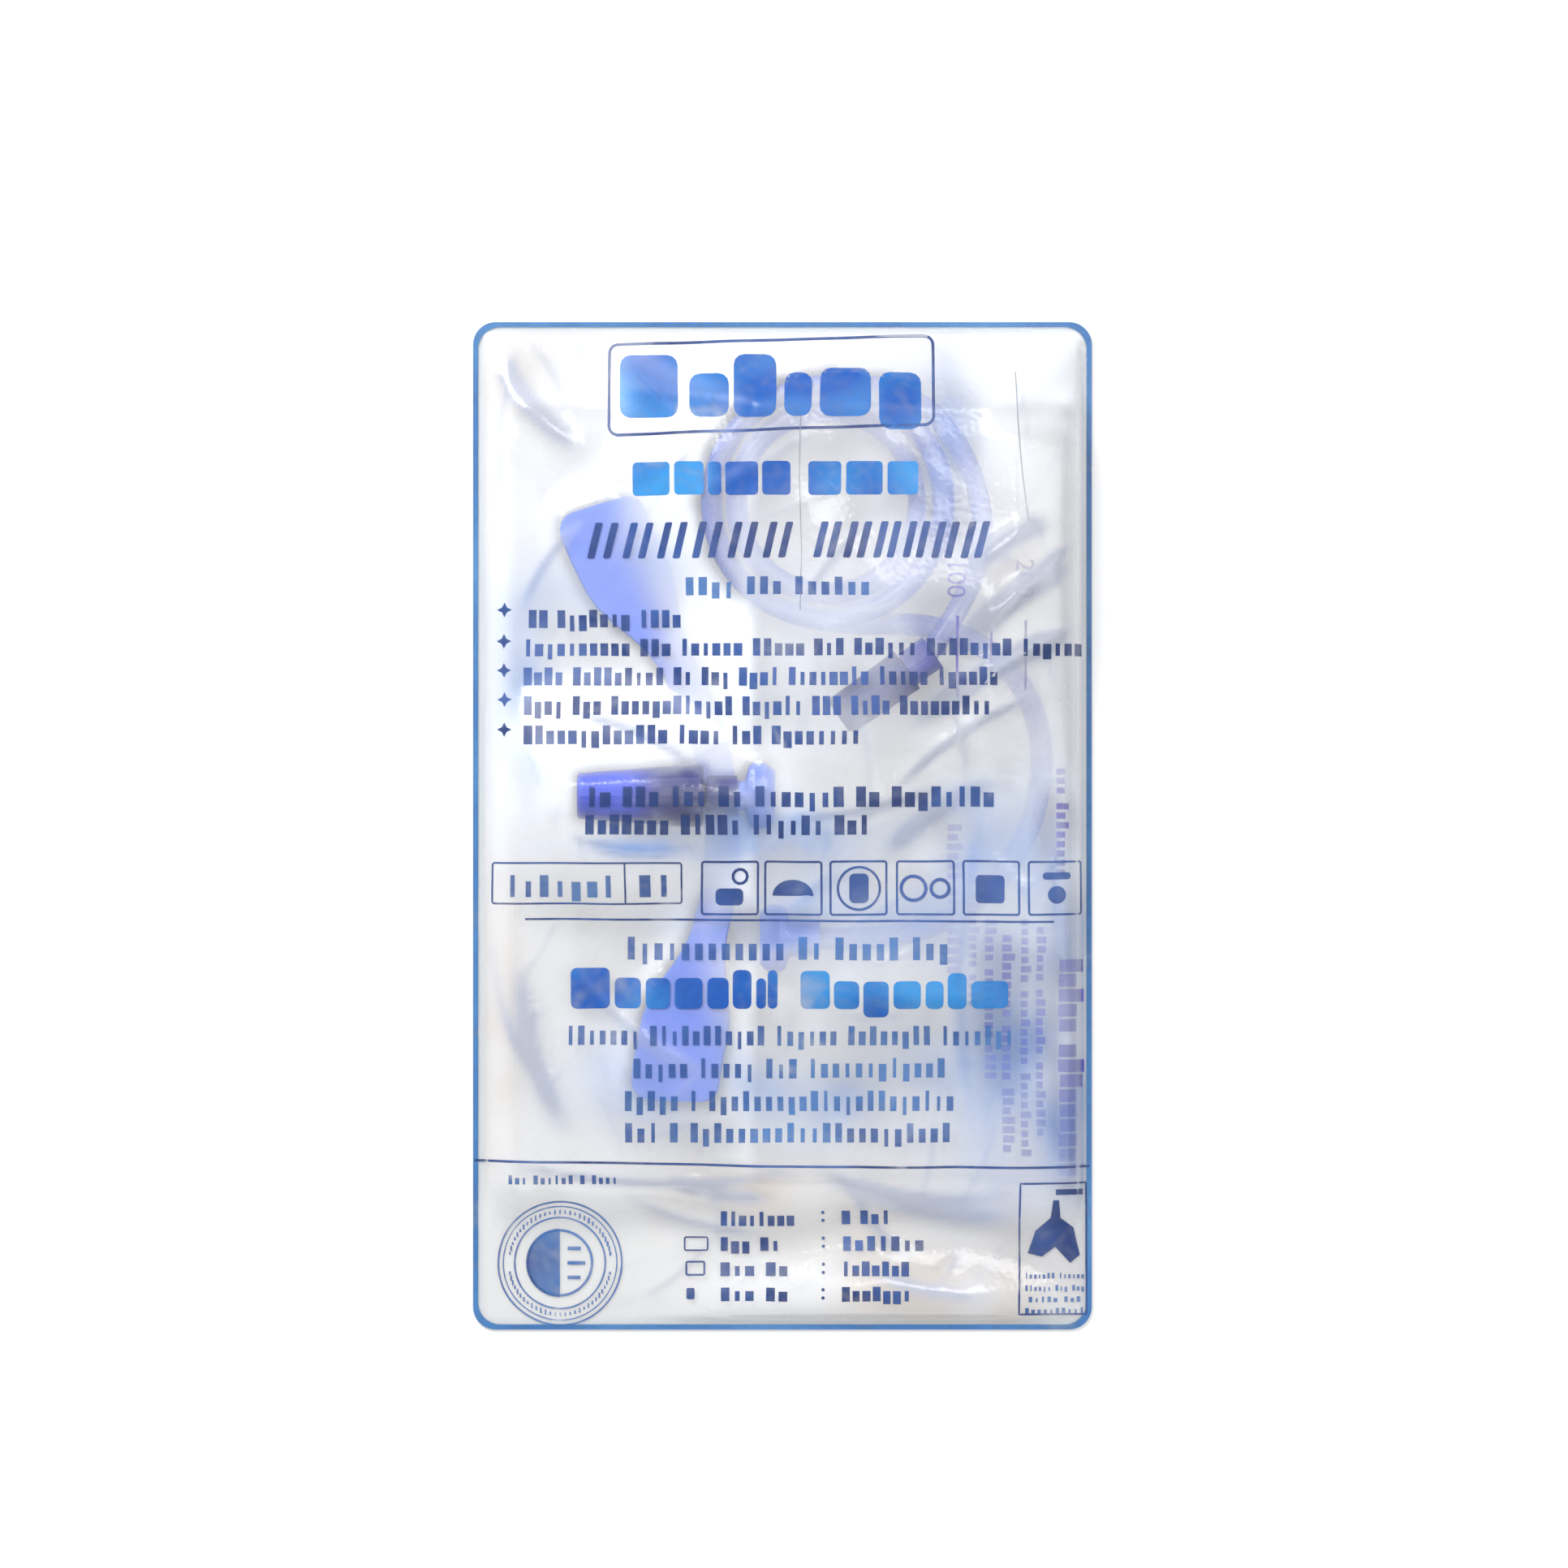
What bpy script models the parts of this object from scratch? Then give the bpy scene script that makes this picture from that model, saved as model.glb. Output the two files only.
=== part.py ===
# A urine drainage bag, folded and sealed in its flat film pack. Metres, +Z up.
# The pack lies face up: +Y is the top of its printed face and the contents lie between the two films.
import math

import bpy
import numpy as np
from mathutils import Matrix, Vector

mm = 0.001

# The film pack
packWidth = 165.0 * mm
packLength = 268.7 * mm
packCornerRadius = 6.0 * mm
packFilm = 0.25 * mm
packSeal = 3.0 * mm  # flat rim where the two films are sealed
clearance = 0.3 * mm  # between pieces that touch

# The folded bag: its middle lies flat, its top end folds in from the left, its bottom end from the right
bagWidth = 205.0 * mm
bagCentreY = 9.0 * mm
bagSheet = 0.3 * mm
bagRoom = 1.1 * mm  # between the two sheets, away from the weld
bagWeld = 6.0 * mm  # width of the welded rim
leftFoldX = -69.0 * mm
rightFoldX = 70.0 * mm
rightFoldDepth = 6.5 * mm
topEdgeX = -1.0 * mm
bottomEdgeX = -7.0 * mm
lockRingHeight = 1.2 * mm  # room for the hanger's lock rings under the top end

# The tube and its coil
tubeRadius = 3.2 * mm
coilCentreX = 12.0 * mm
coilCentreY = 86.0 * mm
coilRadius = 31.6 * mm
coilPitch = 6.7 * mm
tailRadius = 48.6 * mm
coilTurn = 1405.0  # degrees from where the tube joins the coil to where it leaves
coilStep = 22.5  # degrees between two points of the tube
innerTurnAt = 300.0  # degrees along the coil where it steps in
climbAt = 600.0  # where it climbs onto the lower layer
outerTurnAt = 900.0  # where it steps out again
leaveAt = 1260.0
tailAt = 1320.0
coilEase = 60.0  # degrees that each of these steps takes

# The catheter connector and its cap
connectorZ = 14.2 * mm
connectorRadius = 4.8 * mm
connectorCollar = 8.0 * mm
connectorConeLength = 15.0 * mm
connectorConeRadius = 4.0 * mm
connectorTipRadius = 2.9 * mm
connectorBore = 1.8 * mm
capRadius = 6.0 * mm
capLength = 22.0 * mm
capEnd = 2.5 * mm  # thickness of the closed end
capEdge = 1.5 * mm  # rounding of its two ends
capTravel = 9.0 * mm

# The inlet and outlet ports
portLip = 1.2 * mm  # moulded lip over and under the bag's edge
portDepth = 5.0 * mm  # how far the lips reach over the bag's edge
portHalfWidth = 9.0 * mm
portBody = 3.0 * mm  # from the bag's edge to the start of the stub
stubRadius = 4.0 * mm
stubLength = 11.0 * mm  # from the bag's edge
stubBore = 2.2 * mm
inletStubRadius = 4.7 * mm
socketDepth = 6.0 * mm  # how far a tube or stub goes into its socket
inletY = -30.0 * mm
outletY = 8.0 * mm

# The outlet valve
nozzleCollarLength = 8.0 * mm
nozzleCollarRadius = 5.4 * mm
nozzleRadius = 3.2 * mm
nozzleLength = 18.0 * mm
nozzleBore = 1.5 * mm
plugRadius = 2.1 * mm
plugLength = 3.0 * mm
sealRadius = 0.65 * mm  # of the ring's own round section
sealPlace = 9.0 * mm  # from the start of the nozzle to the first ring
sealPitch = 5.0 * mm
sealSink = 0.15 * mm  # how far the ring's middle line stands out of the nozzle
windowPlace = 1.8 * mm  # from the end of the nozzle back to its two side openings
windowRadius = 0.9 * mm
sleeveLength = 33.5 * mm
sleeveWide = 8.3 * mm  # half width at the bag's end
sleeveTall = 6.1 * mm  # half height there
sleeveTipWide = 6.1 * mm
sleeveTipTall = 5.0 * mm
sleeveLand = 2.5 * mm  # length of the hole that the plug closes
sleeveCupRadius = 3.6 * mm  # of the mouth beyond that hole
sleeveTravel = 6.0 * mm
sleeveEdge = 0.6 * mm
sleeveEndRoom = 1.0 * mm  # between the sleeve and the collar when it is pushed in

# The hanger
hangerThickness = 2.4 * mm
hangerHalfSpan = 80.0 * mm
hangerSag = 23.4 * mm  # how far its two arms sweep back
hangerBandHalf = 4.8 * mm
hangerPaddleHalf = 11.8 * mm
hangerTurn = 7.4  # degrees
hangerEdge = 0.5 * mm
paddleCorner = 5.0 * mm
hangerX = -17.0 * mm
hangerY = 9.0 * mm
studOffset = 21.0 * mm
studRadius = 1.9 * mm
studHoleClearance = 0.6 * mm
lockRingRadius = 4.6 * mm

# The non-return sleeve inside the bag
returnWidth = 24.0 * mm
returnLength = 44.0 * mm
returnThickness = 0.5 * mm

# How the films lie over what is under them
weldEase = 3.0 * mm  # over which the two bag sheets part beside the weld
foldSpring = 5.4 * mm  # the film won't fold flatter than this at the right
springStart = 25.0 * mm  # how far from that fold its spring is felt
springReach = 20.0 * mm
holdMargin = 2.0 * mm  # beside the outlet, where the bag's edge keeps the port's height
holdEase = 18.0 * mm
holdRun = 14.0 * mm
filmMargin = 0.6 * mm  # air over the contents
fieldStep = 1.5 * mm
fallSlope = 0.62  # rise over run where a film falls away from the contents
smoothPasses = 40
settlePasses = 24
rimBend = 1.5 * mm  # between the rounded corners and the even mesh lines
roundSides = 20

# Heights that follow from the sizes above
panelHalf = bagRoom / 2 + bagSheet
middleZ = packFilm + clearance + panelHalf
leftFlapZ = middleZ + 2 * panelHalf + 2 * clearance + lockRingHeight
leftFlapTop = leftFlapZ + panelHalf
hangerBottom = leftFlapTop + clearance
hangerTop = hangerBottom + hangerThickness
outletZ = hangerTop + max(nozzleCollarRadius, sleeveTall) + clearance
inletZ = max(middleZ + panelHalf + clearance + inletStubRadius, leftFlapZ)
coilLowZ = leftFlapTop + clearance + tubeRadius
coilHighZ = coilLowZ + coilPitch
runLowZ = middleZ + panelHalf + clearance + tubeRadius


def makeMaterial(name, color, roughness, alpha=1.0):
    material = bpy.data.materials.new(name)
    material.use_nodes = True
    shader = material.node_tree.nodes["Principled BSDF"]
    shader.inputs["Base Color"].default_value = (*color, 1.0)
    shader.inputs["Roughness"].default_value = roughness
    shader.inputs["Alpha"].default_value = alpha
    return material


def addMesh(name, points, faces, material, origin=(0.0, 0.0, 0.0), smooth=True):
    # The points are given in the part's frame, and the object's origin is set to the given place.
    origin = Vector(origin)
    mesh = bpy.data.meshes.new(name)
    mesh.from_pydata([Vector(p) - origin for p in points], [], faces)
    mesh.validate()
    obj = bpy.data.objects.new(name, mesh)
    obj.location = origin
    bpy.context.scene.collection.objects.link(obj)
    mesh.materials.append(material)
    if smooth:
        mesh.shade_smooth()
        mesh.set_sharp_from_angle(angle=math.radians(40))
    return obj


def ellipseRing(centre, across, up, halfWide, halfTall, sides=roundSides):
    # A ring of points round a centre, in the plane of the two directions.
    ring = []
    for i in range(sides):
        angle = 2 * math.pi * i / sides
        ring.append(centre + across * (halfWide * math.cos(angle)) + up * (halfTall * math.sin(angle)))
    return ring


def loftRings(rings, hollow):
    # Faces between rings of equal count. A hollow loft runs back along its bore to its first ring.
    count = len(rings[0])
    points = [p for ring in rings for p in ring]
    faces = []
    pairs = len(rings) if hollow else len(rings) - 1
    for r in range(pairs):
        a = r * count
        b = (r + 1) % len(rings) * count
        for i in range(count):
            j = (i + 1) % count
            faces.append((a + i, a + j, b + j, b + i))
    if not hollow:
        faces.append(tuple(reversed(range(count))))
        faces.append(tuple(range(len(points) - count, len(points))))
    return points, faces


def turnPiece(name, start, direction, profile, material, hollow, origin=(0.0, 0.0, 0.0)):
    # A piece turned round a level axis. Its profile holds (place along the axis, half width, half height).
    direction = Vector(direction).normalized()
    up = Vector((0.0, 0.0, 1.0))
    across = up.cross(direction)
    rings = [ellipseRing(Vector(start) + direction * s, across, up, w, t) for s, w, t in profile]
    points, faces = loftRings(rings, hollow)
    return addMesh(name, points, faces, material, origin)


def subtract(obj, cutter):
    modifier = obj.modifiers.new("cut", "BOOLEAN")
    modifier.operation = "DIFFERENCE"
    modifier.solver = "EXACT"
    modifier.object = cutter
    cutter.hide_render = True
    cutter.display_type = "WIRE"


def smoothStep(t):
    t = min(1.0, max(0.0, t))
    return t * t * (3 - 2 * t)


# The tube: a run from the inlet port, four turns in two layers, and a tail to the connector
def coilPoint(turned):
    # A point of the coil, so many degrees clockwise from where the run joins it.
    angle = math.radians(-90 - turned)
    stepIn = smoothStep((turned - innerTurnAt) / coilEase)  # to the lower layer's inner turn
    climb = smoothStep((turned - climbAt) / coilEase)
    stepOut = smoothStep((turned - outerTurnAt) / coilEase)  # to the upper layer's outer turn
    leave = smoothStep((turned - leaveAt) / coilEase)
    tail = smoothStep((turned - tailAt) / (coilTurn - tailAt))
    radius = coilRadius + coilPitch * (stepOut + leave - stepIn)
    radius += (tailRadius - coilRadius - coilPitch) * tail
    z = coilLowZ + (coilHighZ - coilLowZ) * climb + (connectorZ - coilHighZ) * tail
    return Vector((coilCentreX + radius * math.cos(angle), coilCentreY + radius * math.sin(angle), z))


def catmullPoint(a, b, c, d, t):
    square = (2 * a - 5 * b + 4 * c - d) * t**2
    cube = (3 * b - a - 3 * c + d) * t**3
    return 0.5 * (2 * b + (c - a) * t + square + cube)


def tubePoints():
    coilCount = int(coilTurn / coilStep)
    coil = [coilPoint(coilStep * i) for i in range(coilCount)] + [coilPoint(coilTurn)]
    route = [
        (20.0 * mm, inletY, inletZ),
        (34.0 * mm, -28.6 * mm, runLowZ),
        (49.0 * mm, -22.0 * mm, runLowZ),
        (61.0 * mm, -10.0 * mm, runLowZ),
        (68.0 * mm, 6.0 * mm, runLowZ),
        (69.0 * mm, 22.0 * mm, runLowZ),
        (64.5 * mm, 36.5 * mm, runLowZ),
        (53.5 * mm, 48.0 * mm, runLowZ),
        (39.5 * mm, 53.2 * mm, runLowZ + 0.2 * mm),
        (25.5 * mm, 53.7 * mm, (runLowZ + coilLowZ) / 2),
    ]
    inletMouth = topEdgeX + stubLength
    start = Vector((inletMouth - socketDepth, inletY, inletZ))
    mouth = Vector((inletMouth, inletY, inletZ))
    run = [start, mouth] + [Vector(p) for p in route] + [coil[0], coil[1]]
    points = [start]
    for i in range(1, len(run) - 2):
        points.append(run[i])
        points.append(catmullPoint(run[i - 1], run[i], run[i + 1], run[i + 2], 0.5))
    points += coil
    points.append(coil[-1] + connectorDirection() * socketDepth)
    return points


def connectorDirection():
    angle = math.radians(-90 - coilTurn)
    return Vector((math.sin(angle), -math.cos(angle), 0.0))


def makeTube(points):
    curve = bpy.data.curves.new("inlet_tube", "CURVE")
    curve.dimensions = "3D"
    curve.bevel_depth = tubeRadius
    curve.bevel_resolution = 3
    curve.use_fill_caps = True
    spline = curve.splines.new("POLY")
    spline.points.add(len(points) - 1)
    for place, p in zip(spline.points, points):
        place.co = (*p, 1.0)
    curve.materials.append(tubeMaterial)
    obj = bpy.data.objects.new("inlet_tube", curve)
    bpy.context.scene.collection.objects.link(obj)
    return obj


# The catheter connector and its cap
def makeConnector(start, direction):
    socket = tubeRadius + clearance
    tip = connectorCollar + connectorConeLength
    profile = [
        (0.0, connectorRadius, connectorRadius),
        (connectorCollar, connectorRadius, connectorRadius),
        (connectorCollar, connectorConeRadius, connectorConeRadius),
        (tip, connectorTipRadius, connectorTipRadius),
        (tip, connectorBore, connectorBore),
        (socketDepth + clearance, connectorBore, connectorBore),
        (socketDepth + clearance, socket, socket),
        (0.0, socket, socket),
    ]
    turnPiece("catheter_connector", start, direction, profile, mouldedMaterial, True)


def makeCap(start, direction):
    mouth = connectorCollar + clearance
    bore = connectorConeRadius + clearance
    end = mouth + capLength
    round1 = capEdge
    profile = [
        (end - capEnd, bore * 0.6, bore * 0.6),
        (end - capEnd - round1, bore, bore),
        (mouth, bore, bore),
        (mouth, capRadius, capRadius),
        (mouth + round1, capRadius, capRadius),
        (end - round1, capRadius - round1 * 0.3, capRadius - round1 * 0.3),
        (end, capRadius - round1, capRadius - round1),
    ]
    origin = start + direction * mouth
    turnPiece("connector_cap", start, direction, profile, capMaterial, False, origin)


# The two ports, each a moulded lens that grips the bag's edge and ends in a stub
def makePort(name, edgeX, y, sheetZ, stubZ, radius, outward, socket):
    weldHalf = clearance / 2 + bagSheet
    slotHalf = weldHalf + clearance
    lipTall = slotHalf + portLip
    direction = Vector((outward, 0.0, 0.0))
    up = Vector((0.0, 0.0, 1.0))
    across = up.cross(direction)
    sections = [
        (-portDepth, portHalfWidth * 0.8, lipTall, sheetZ),
        (-portDepth * 0.5, portHalfWidth, (lipTall + radius) / 2, (sheetZ + stubZ) / 2),
        (clearance, portHalfWidth, radius, stubZ),
        (portBody * 0.6, portHalfWidth * 0.9, radius, stubZ),
        (portBody, radius, radius, stubZ),
        (stubLength, radius, radius, stubZ),
    ]
    rings = []
    for s, wide, tall, z in sections:
        rings.append(ellipseRing(Vector((edgeX + outward * s, y, z)), across, up, wide, tall))
    points, faces = loftRings(rings, False)
    port = addMesh(name, points, faces, mouldedMaterial)
    # The slot for the bag's edge
    slot = boxBetween(
        name + "_slot",
        (edgeX - outward * 2 * portDepth, y - 2 * portHalfWidth, sheetZ - slotHalf),
        (edgeX + outward * clearance, y + 2 * portHalfWidth, sheetZ + slotHalf),
    )
    subtract(port, slot)
    # The bore from the slot through the stub, wider where a tube is pushed in
    bore = [(-clearance, stubBore, stubBore), (stubLength * 2, stubBore, stubBore)]
    if socket:
        floor = stubLength - socketDepth - clearance
        bore = [bore[0], (floor, stubBore, stubBore), (floor, socket, socket)]
        bore.append((stubLength * 2, socket, socket))
    cutter = turnPiece(name + "_bore", (edgeX, y, stubZ), direction, bore, mouldedMaterial, False)
    subtract(port, cutter)


def boxBetween(name, low, high):
    x0, x1 = sorted((low[0], high[0]))
    y0, y1 = sorted((low[1], high[1]))
    z0, z1 = sorted((low[2], high[2]))
    bottom = [(x0, y0, z0), (x1, y0, z0), (x1, y1, z0), (x0, y1, z0)]
    top = [(x, y, z1) for x, y, z in bottom]
    points, faces = loftRings([bottom, top], False)
    return addMesh(name, points, faces, mouldedMaterial, smooth=False)


# The outlet valve: a nozzle with a plug at its end, two seal rings and the sleeve that slides along it.
# The places along it are measured from the bag's bottom edge, away from the bag.
collarStart = stubLength - socketDepth
collarEnd = collarStart + nozzleCollarLength
nozzleEnd = collarEnd + nozzleLength
sealLine = nozzleRadius + sealSink  # radius of each seal ring's own middle line
sleeveStart = collarEnd + sleeveEndRoom
sleeveBore = sealLine + sealRadius + clearance
valveStart = Vector((bottomEdgeX, outletY, outletZ))
valveDirection = Vector((-1.0, 0.0, 0.0))


def makeValveBody():
    socket = stubRadius + clearance
    socketEnd = stubLength + clearance
    grooveFloor = sealLine - sealRadius - clearance
    grooveHalf = sealRadius + clearance
    windowEnd = nozzleEnd - windowPlace + windowRadius
    profile = [
        (windowEnd, nozzleBore, nozzleBore),
        (socketEnd, nozzleBore, nozzleBore),
        (socketEnd, socket, socket),
        (collarStart, socket, socket),
        (collarStart, nozzleCollarRadius, nozzleCollarRadius),
        (collarEnd, nozzleCollarRadius, nozzleCollarRadius),
        (collarEnd, nozzleRadius, nozzleRadius),
    ]
    for i in range(2):
        middle = collarEnd + sealPlace + sealPitch * i
        profile.append((middle - grooveHalf, nozzleRadius, nozzleRadius))
        profile.append((middle - grooveHalf, grooveFloor, grooveFloor))
        profile.append((middle + grooveHalf, grooveFloor, grooveFloor))
        profile.append((middle + grooveHalf, nozzleRadius, nozzleRadius))
    profile += [
        (nozzleEnd, nozzleRadius, nozzleRadius),
        (nozzleEnd, plugRadius, plugRadius),
        (nozzleEnd + plugLength, plugRadius * 0.85, plugRadius * 0.85),
    ]
    body = turnPiece("valve_body", valveStart, valveDirection, profile, mouldedMaterial, False)
    windowX = bottomEdgeX - nozzleEnd + windowPlace
    low = (windowX - windowRadius, outletY - 2 * nozzleRadius, outletZ - windowRadius)
    high = (windowX + windowRadius, outletY + 2 * nozzleRadius, outletZ + windowRadius)
    window = boxBetween("valve_window", low, high)
    subtract(body, window)


def makeSeal(name, place, sides=8):
    profile = []
    for i in range(sides):
        angle = 2 * math.pi * i / sides
        radius = sealLine + sealRadius * math.sin(angle)
        profile.append((place - sealRadius * math.cos(angle), radius, radius))
    turnPiece(name, valveStart, valveDirection, profile, rubberMaterial, True)


def makeSleeve():
    end = sleeveStart + sleeveLength
    landStart = nozzleEnd + clearance
    landEnd = landStart + sleeveLand
    land = plugRadius + clearance
    shoulder = sleeveStart + sleeveLength * 0.12
    waist = sleeveStart + sleeveLength * 0.55
    edge = sleeveEdge
    profile = [
        (sleeveStart, sleeveWide - edge, sleeveTall - edge),
        (sleeveStart + edge, sleeveWide, sleeveTall),
        (shoulder, sleeveWide, sleeveTall),
        (waist, (sleeveWide + sleeveTipWide) / 2, (sleeveTall + sleeveTipTall) / 2),
        (end - edge, sleeveTipWide, sleeveTipTall),
        (end, sleeveTipWide - edge, sleeveTipTall - edge),
        (end, sleeveCupRadius, sleeveCupRadius),
        (landEnd + sleeveCupRadius - land, sleeveCupRadius, sleeveCupRadius),
        (landEnd, land, land),
        (landStart, land, land),
        (landStart, sleeveBore, sleeveBore),
        (sleeveStart, sleeveBore, sleeveBore),
    ]
    origin = valveStart + valveDirection * sleeveStart
    turnPiece("drain_sleeve", valveStart, valveDirection, profile, outletMaterial, True, origin)


# The hanger, a flat bow with broad ends and two studs that go through the bag's top edge
def hangerFrame():
    turn = math.radians(hangerTurn)
    along = Vector((-math.sin(turn), math.cos(turn), 0.0))
    back = Vector((-math.cos(turn), -math.sin(turn), 0.0))
    return Vector((hangerX, hangerY, hangerBottom)), along, back


def hangerLine(t):
    # A point of the bow's middle line, so far along its span from the centre.
    centre, along, back = hangerFrame()
    sweep = smoothStep((abs(t) / hangerHalfSpan - 0.07) / 1.06)
    return centre + along * t + back * (hangerSag * sweep)


def hangerHalf(t):
    spread = smoothStep((abs(t) / hangerHalfSpan - 0.46) / 0.3)
    half = hangerBandHalf + (hangerPaddleHalf - hangerBandHalf) * spread
    corner = paddleCorner
    past = max(0.0, abs(t) - (hangerHalfSpan - corner))
    return half - corner + math.sqrt(max(0.0, corner**2 - past**2))


def makeHanger(steps=40):
    up = Vector((0.0, 0.0, 1.0))
    edge = hangerEdge
    thick = hangerThickness
    rings = []
    for i in range(steps + 1):
        # The places crowd towards the two ends, where the corners are round.
        t = hangerHalfSpan * math.sin(math.pi * (i / steps - 0.5))
        here = hangerLine(t)
        ahead = hangerLine(t + mm) - hangerLine(t - mm)
        direction = ahead.normalized()
        across = up.cross(direction)
        half = hangerHalf(t)
        outline = [
            (half, edge),
            (half, thick - edge),
            (half - edge, thick),
            (edge - half, thick),
            (-half, thick - edge),
            (-half, edge),
            (edge - half, 0.0),
            (half - edge, 0.0),
        ]
        rings.append([here + across * a + up * b for a, b in outline])
    points, faces = loftRings(rings, False)
    hanger = addMesh("hanger", points, faces, mouldedMaterial)
    for i, place in enumerate((-studOffset, studOffset)):
        studFoot = middleZ + panelHalf + clearance
        stud = uprightRod(f"hanger_stud_{i}", place, studRadius, studFoot, hangerTop - edge)
        union = hanger.modifiers.new("stud", "BOOLEAN")
        union.operation = "UNION"
        union.solver = "EXACT"
        union.object = stud
        stud.hide_render = True
        stud.display_type = "WIRE"


def uprightRod(name, place, radius, low, high):
    centre = hangerLine(place)
    east = Vector((1.0, 0.0, 0.0))
    north = Vector((0.0, 1.0, 0.0))
    ends = [Vector((centre.x, centre.y, z)) for z in (low, high)]
    rings = [ellipseRing(end, east, north, radius, radius) for end in ends]
    points, faces = loftRings(rings, False)
    return addMesh(name, points, faces, mouldedMaterial)


def makeLockRing(name, place):
    centre = hangerLine(place)
    low = middleZ + panelHalf + clearance
    east = Vector((1.0, 0.0, 0.0))
    north = Vector((0.0, 1.0, 0.0))
    inner = studRadius + clearance
    outline = [
        (lockRingRadius, low),
        (lockRingRadius, low + lockRingHeight),
        (inner, low + lockRingHeight),
        (inner, low),
    ]
    rings = [ellipseRing(Vector((centre.x, centre.y, z)), east, north, r, r) for r, z in outline]
    points, faces = loftRings(rings, True)
    addMesh(name, points, faces, mouldedMaterial)


# Height fields: how high the contents reach over each place of the pack
fieldX = np.arange(-packWidth / 2, packWidth / 2 + fieldStep, fieldStep)
fieldY = np.arange(-packLength / 2, packLength / 2 + fieldStep, fieldStep)
gridX, gridY = np.meshgrid(fieldX, fieldY, indexing="ij")


def raiseRound(field, centre, radius, top):
    near = (gridX - centre[0]) ** 2 + (gridY - centre[1]) ** 2 < (radius + filmMargin) ** 2
    field[near] = np.maximum(field[near], top)


def raiseBox(field, x0, x1, y0, y1, top):
    near = (gridX > x0) & (gridX < x1) & (gridY > y0) & (gridY < y1)
    field[near] = np.maximum(field[near], top)


def raiseLine(field, points, radius, rise):
    # Raises the field along a run of points, to so much above each of them.
    for a, b in zip(points[:-1], points[1:]):
        parts = max(1, int((b - a).length / fieldStep))
        for i in range(parts + 1):
            p = a.lerp(b, i / parts)
            raiseRound(field, p, radius, p.z + rise)


def drapeOver(field, floor):
    # A film let down over the field: it falls away at a steady slope, then its creases are eased.
    height = np.maximum(field, floor)
    diagonal = fallSlope * fieldStep
    for _ in range(2):
        for axis in (0, 1):
            lined = np.moveaxis(height, axis, 0)
            for i in range(1, len(lined)):
                lined[i] = np.maximum(lined[i], lined[i - 1] - diagonal)
            for i in range(len(lined) - 2, -1, -1):
                lined[i] = np.maximum(lined[i], lined[i + 1] - diagonal)
    for _ in range(smoothPasses):
        padded = np.pad(height, 1, mode="edge")
        mean = (padded[2:, 1:-1] + padded[:-2, 1:-1] + padded[1:-1, 2:] + padded[1:-1, :-2]) / 4
        height = np.maximum(mean, np.maximum(field, floor))
    return height


def highestBetween(field, xs, ys):
    # The field's highest value in the cells round each crossing of two sets of lines.
    out = np.zeros((len(xs), len(ys)))
    for i in range(len(xs)):
        x0 = xs[max(0, i - 1)]
        x1 = xs[min(len(xs) - 1, i + 1)]
        columns = (fieldX >= min(x0, x1) - fieldStep / 2) & (fieldX <= max(x0, x1) + fieldStep / 2)
        for j in range(len(ys)):
            y0 = ys[max(0, j - 1)]
            y1 = ys[min(len(ys) - 1, j + 1)]
            rows = (fieldY >= y0 - fieldStep / 2) & (fieldY <= y1 + fieldStep / 2)
            out[i, j] = field[np.ix_(columns, rows)].max()
    return out


def raiseTube(field, points):
    raiseLine(field, points, tubeRadius, tubeRadius)
    direction = connectorDirection()
    start = points[-2]
    swept = connectorCollar + clearance + capLength + capTravel
    raiseLine(field, [start, start + direction * swept], capRadius, capRadius)


def raiseInlet(field):
    x1 = topEdgeX + stubLength
    top = inletZ + inletStubRadius
    raiseBox(field, topEdgeX - portDepth, x1, inletY - portHalfWidth, inletY + portHalfWidth, top)


# The folded bag
flapLines = 8  # spans of the mesh across each flat stretch
foldLines = 7  # spans round each fold
sideLines = 14  # spans across the bag


def bagAcross():
    low = bagCentreY - bagWidth / 2
    high = bagCentreY + bagWidth / 2
    ease = bagWeld + weldEase
    inside = np.linspace(low + ease, high - ease, sideLines + 1)
    return np.concatenate([[low, low + bagWeld], inside, [high - bagWeld, high]])


def flapAcross():
    ease = bagWeld + weldEase
    inside = np.linspace(rightFoldX, bottomEdgeX + ease, flapLines + 1)
    return np.concatenate([inside, [bottomEdgeX + bagWeld, bottomEdgeX]])


def flapHeights(points):
    # The middle surface of the bag's bottom end, where it lies over the tube.
    field = np.zeros_like(gridX)
    raiseTube(field, points)
    raiseInlet(field)
    raiseBox(field, -packWidth, topEdgeX + 2 * clearance, -packLength, packLength, leftFlapTop)
    least = middleZ + panelHalf
    lap = drapeOver(field, least) + clearance + panelHalf + filmMargin
    xs = flapAcross()
    ys = bagAcross()
    heights = highestBetween(lap, np.asarray(xs), ys)
    springy = middleZ + foldSpring
    for i, x in enumerate(xs):
        near = smoothStep((x - (rightFoldX - springStart)) / springReach)
        heights[i] = np.maximum(heights[i], springy * near)
        # At the outlet the bag's edge is held at the port's height.
        for j, y in enumerate(ys):
            aside = smoothStep((abs(y - outletY) - portHalfWidth - holdMargin) / holdEase)
            away = smoothStep((x - bottomEdgeX - bagWeld) / holdRun)
            held = (1 - aside) * (1 - away)
            heights[i, j] += (outletZ - heights[i, j]) * held
    return xs, ys, heights


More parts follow.
